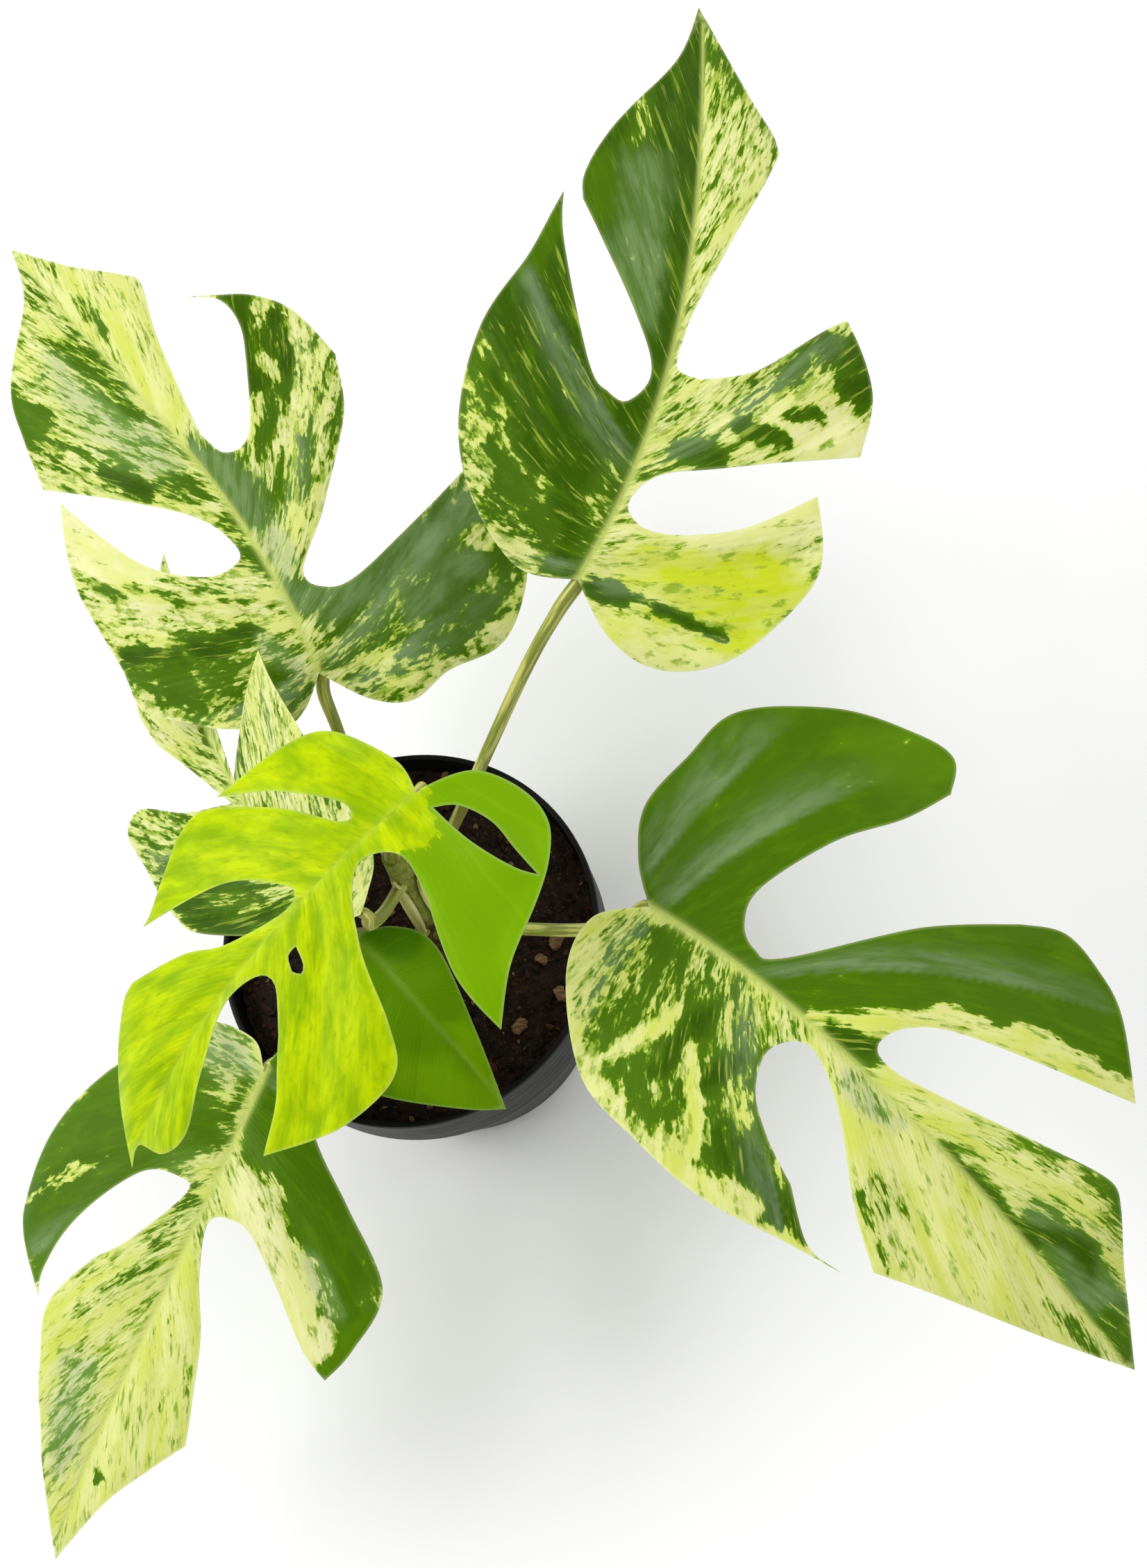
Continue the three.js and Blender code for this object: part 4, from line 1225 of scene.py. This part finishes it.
def make_soil():
    """The soil fills the pot. Its top is a fine polar mesh of lumps and pits."""
    rings, sectors = 64, 200
    edge = inner_radius(SOIL_LEVEL) - GAP
    vertices = [(0, 0, soil_top(0, 0))]
    for ring in range(1, rings + 1):
        r = edge * ring / rings
        for k in range(sectors):
            x, y = around(r, k, sectors)
            rough = noise.fractal(Vector((x * 0.33, y * 0.33, 4)), 0.9, 2.1, 4)
            crumb = 1 - abs(noise.noise(Vector((x * 0.9, y * 0.9, 9)))) * 2
            vertices.append((x, y, soil_top(x, y) - 0.9 + 1.1 * rough + 0.7 * crumb))
    below = [
        (edge, COLLAR_BOTTOM + POT_WALL + GAP),
        (BODY_TOP_RADIUS - POT_WALL - 2 * GAP, COLLAR_BOTTOM),
        (inner_radius(3) - GAP, FLOOR_TOP + GAP),
    ]
    for r, z in below:
        vertices += [(*around(r, k, sectors), z) for k in range(sectors)]
    vertices.append((0, 0, FLOOR_TOP + GAP))
    faces = [(0, 1 + k, 1 + (k + 1) % sectors) for k in range(sectors)]
    for ring in range(rings + len(below) - 1):
        for k in range(sectors):
            a, b = 1 + ring * sectors + k, 1 + ring * sectors + (k + 1) % sectors
            faces.append((a, a + sectors, b + sectors, b))
    last = 1 + (rings + len(below) - 1) * sectors
    faces += [(last + (k + 1) % sectors, last + k, len(vertices) - 1) for k in range(sectors)]
    piece = piece_from("potting_mix", vertices, faces)
    set_points(piece, "tint", np.zeros((len(vertices), 4)))
    return piece


def lump_shape():
    """A small faceted lump, of one size across."""
    deselect_all()
    bpy.ops.mesh.primitive_ico_sphere_add(subdivisions=1, radius=0.5)
    lump = bpy.context.view_layer.objects.active
    points = np.array([tuple(v.co) for v in lump.data.vertices])
    faces = np.array([tuple(f.vertices) for f in lump.data.polygons])
    bpy.data.objects.remove(lump)
    return points, faces


# A crumb's colour, how strongly it shows, and how many in a hundred crumbs have it.
TINTS = [(paint("140d09"), 0.6, 46), (paint("3a2418"), 0.8, 26), (paint("5b3320"), 0.9, 13),
         (paint("8a6a4a"), 0.9, 7), (paint("2b1c14"), 0.5, 8)]


def make_crumbs():
    """Loose crumbs of the mix, each a small turned and squashed lump."""
    dice = random.Random(SEED)
    shape, triangles = lump_shape()
    reach = inner_radius(SOIL_LEVEL) - 1.6
    vertices, faces, tints = [], [], []
    for _ in range(CRUMB_COUNT):
        r, bearing = reach * math.sqrt(dice.random()), dice.uniform(0, 2 * math.pi)
        size = 0.7 + 2.1 * dice.random() ** 2.2
        colour, cover, _ = dice.choices(TINTS, [t[2] for t in TINTS])[0]
        x, y = r * math.cos(bearing), r * math.sin(bearing)
        squash = size * np.array([dice.uniform(low, high) for low, high in CRUMB_SHAPE])
        turn = np.array(Euler([dice.uniform(0, 6.3) for _ in range(3)]).to_matrix())
        jitter = np.array([[dice.uniform(0.8, 1.2)] for _ in shape])
        place = np.array((x, y, soil_top(x, y) - 0.35 + size * 0.22))
        first = len(vertices)
        vertices += list((shape * jitter * squash) @ turn.T + place)
        faces += [tuple(t + first) for t in triangles]
        tints += [tuple(colour[:3]) + (cover,)] * len(shape)
    piece = piece_from("soil_crumbs", np.array(vertices), faces)
    set_points(piece, "tint", np.array(tints))
    return piece


def make_chip(node):
    """A splintered chip of bark in the place of its frame node."""
    low, high = (np.array(corner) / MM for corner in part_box(node))
    centre, size = (low + high) / 2, high - low
    number = int(node.rsplit("_", 1)[1])
    deselect_all()
    bpy.ops.mesh.primitive_cube_add(size=1)
    chip = bpy.context.view_layer.objects.active
    chip.name = chip.data.name = node + "_splinter"
    bpy.ops.object.mode_set(mode="EDIT")
    bpy.ops.mesh.select_all(action="SELECT")
    bpy.ops.mesh.subdivide(number_cuts=4)
    bpy.ops.object.mode_set(mode="OBJECT")
    turn = Matrix.Rotation(number * 1.3, 3, "Z")
    length, width, height = max(size[:2]) * 0.95, max(size[:2]) * 0.5, size[2] * 0.8
    for v in chip.data.vertices:
        p = v.co.copy()
        p.x *= 1 - 0.7 * abs(p.y)
        shift = noise.noise_vector(Vector((p.x * 2.4, p.y * 2.4, p.z * 1.5 + number * 5))) * 0.16
        layer = 0.08 * math.sin((p.z + p.x * 0.4) * 19)
        p = p + shift + Vector((0, layer, 0))
        p = turn @ Vector((p.x * length, p.y * width, p.z * height))
        v.co = (Vector(centre) + p) * MM
    return chip


# ---------------------------------------------------------------- build

LEAF_SKIN = make_leaf_skin("variegated_leaf", 0.55)
LIME_SKIN = make_lime_skin("lime_leaf", paint("80a600"), paint("bdd300"), paint("6f9e00"))
GREEN_SKIN = make_lime_skin("green_leaf", paint("6a9600"), paint("82a800"), paint("3f6c00"))
STALK_SKIN = make_stalk_skin("olive_stalk", paint("7c8a2c"), paint("bfbd62"), paint("86592a"), 0.7)
SHEATH_SKIN = make_stalk_skin("cream_sheath", paint("bdb96a"), paint("d8d592"), paint("7d6a2c"), 0.6)
STEM_SKIN = make_stem_skin()
PLASTIC = make_black_plastic()
EARTH = make_earth(paint("0e0907"), paint("2f1e16"), paint("5a3222"))
TAN = make_bark("tan_bark", paint("604229"), paint("a98560"))
RED = make_bark("red_bark", paint("3a1c12"), paint("7c4229"))

SKINS = {"leaf_variegated": LEAF_SKIN, "leaf_lime": LIME_SKIN, "leaf_green": GREEN_SKIN}

finish_piece(make_pot(), PLASTIC, ["pot"], 35)
finish_piece(make_soil(), EARTH, ["soil"], 60)
finish_piece(make_crumbs(), EARTH, [], 20)
for node in sorted(n for n in frame["nodes"] if n.startswith("bark_chip_")):
    tan = int(node.rsplit("_", 1)[1]) <= 4
    finish_piece(make_chip(node), TAN if tan else RED, [node], 30)
finish_piece(make_stem(), STEM_SKIN, ["stem"], 60)
for node, sheath in SHEATHS.items():
    finish_piece(make_sheath(node, sheath), SHEATH_SKIN, [node])
for number, (node, leaf) in enumerate(LEAVES.items()):
    blade, shift = make_blade(node, leaf, number + 1)
    finish_piece(blade, SKINS[leaf["slot"]], [node])
    stalk = node.replace("leaf", "petiole")
    finish_piece(make_stalk(stalk + "_stalk", leaf, shift), STALK_SKIN, [stalk], 60)

# ---------------------------------------------------------------- floor, light and camera
# Places are in metres, light powers in watts.

CAMERA_PLACE = (0.14676, -0.16968, 0.66242)
CAMERA_TURN = (19.847, 9.690, 0)
PLANT_MIDDLE = (0, 0, 0.12)
SKY_LIGHT = 0.62


def make_stage():
    """A pale floor under an even white sky."""
    deselect_all()
    bpy.ops.mesh.primitive_plane_add(size=8, location=(0, 0, 0))
    floor = bpy.context.view_layer.objects.active
    floor.name = "studio_floor"
    made, _, _ = new_material("studio_white", Base_Color=(0.95, 0.95, 0.95, 1), Roughness=0.9)
    floor.data.materials.append(made)
    deselect_all()
    world = bpy.data.worlds.new("soft_studio")
    world.use_nodes = True
    sky = world.node_tree.nodes["Background"]
    sky.inputs["Color"].default_value = (1, 1, 1, 1)
    sky.inputs["Strength"].default_value = SKY_LIGHT
    bpy.context.scene.world = world


def add_softbox(name, place, size, power):
    """A square light that faces the plant."""
    lamp = bpy.data.lights.new(name, "AREA")
    lamp.energy, lamp.size = power, size
    holder = add_object(name, lamp)
    holder.location = place
    holder.rotation_euler = (Vector(PLANT_MIDDLE) - Vector(place)).to_track_quat("-Z", "Y").to_euler()


def make_camera():
    """The camera looks down from the front, a little to the right of the plant."""
    lens = bpy.data.cameras.new("overhead_camera")
    lens.lens = 50
    lens.sensor_width = 36
    lens.sensor_fit = "AUTO"
    lens.clip_start = 0.02
    camera = add_object("overhead_camera", lens)
    camera.location = CAMERA_PLACE
    camera.rotation_euler = [math.radians(angle) for angle in CAMERA_TURN]
    bpy.context.scene.camera = camera


make_stage()
add_softbox("key_softbox", place=(-1.0, -0.1, 1.25), size=0.9, power=16)
add_softbox("fill_softbox", place=(0.9, 0.7, 1.3), size=1.2, power=8)
make_camera()
bpy.context.scene.view_settings.view_transform = "Standard"
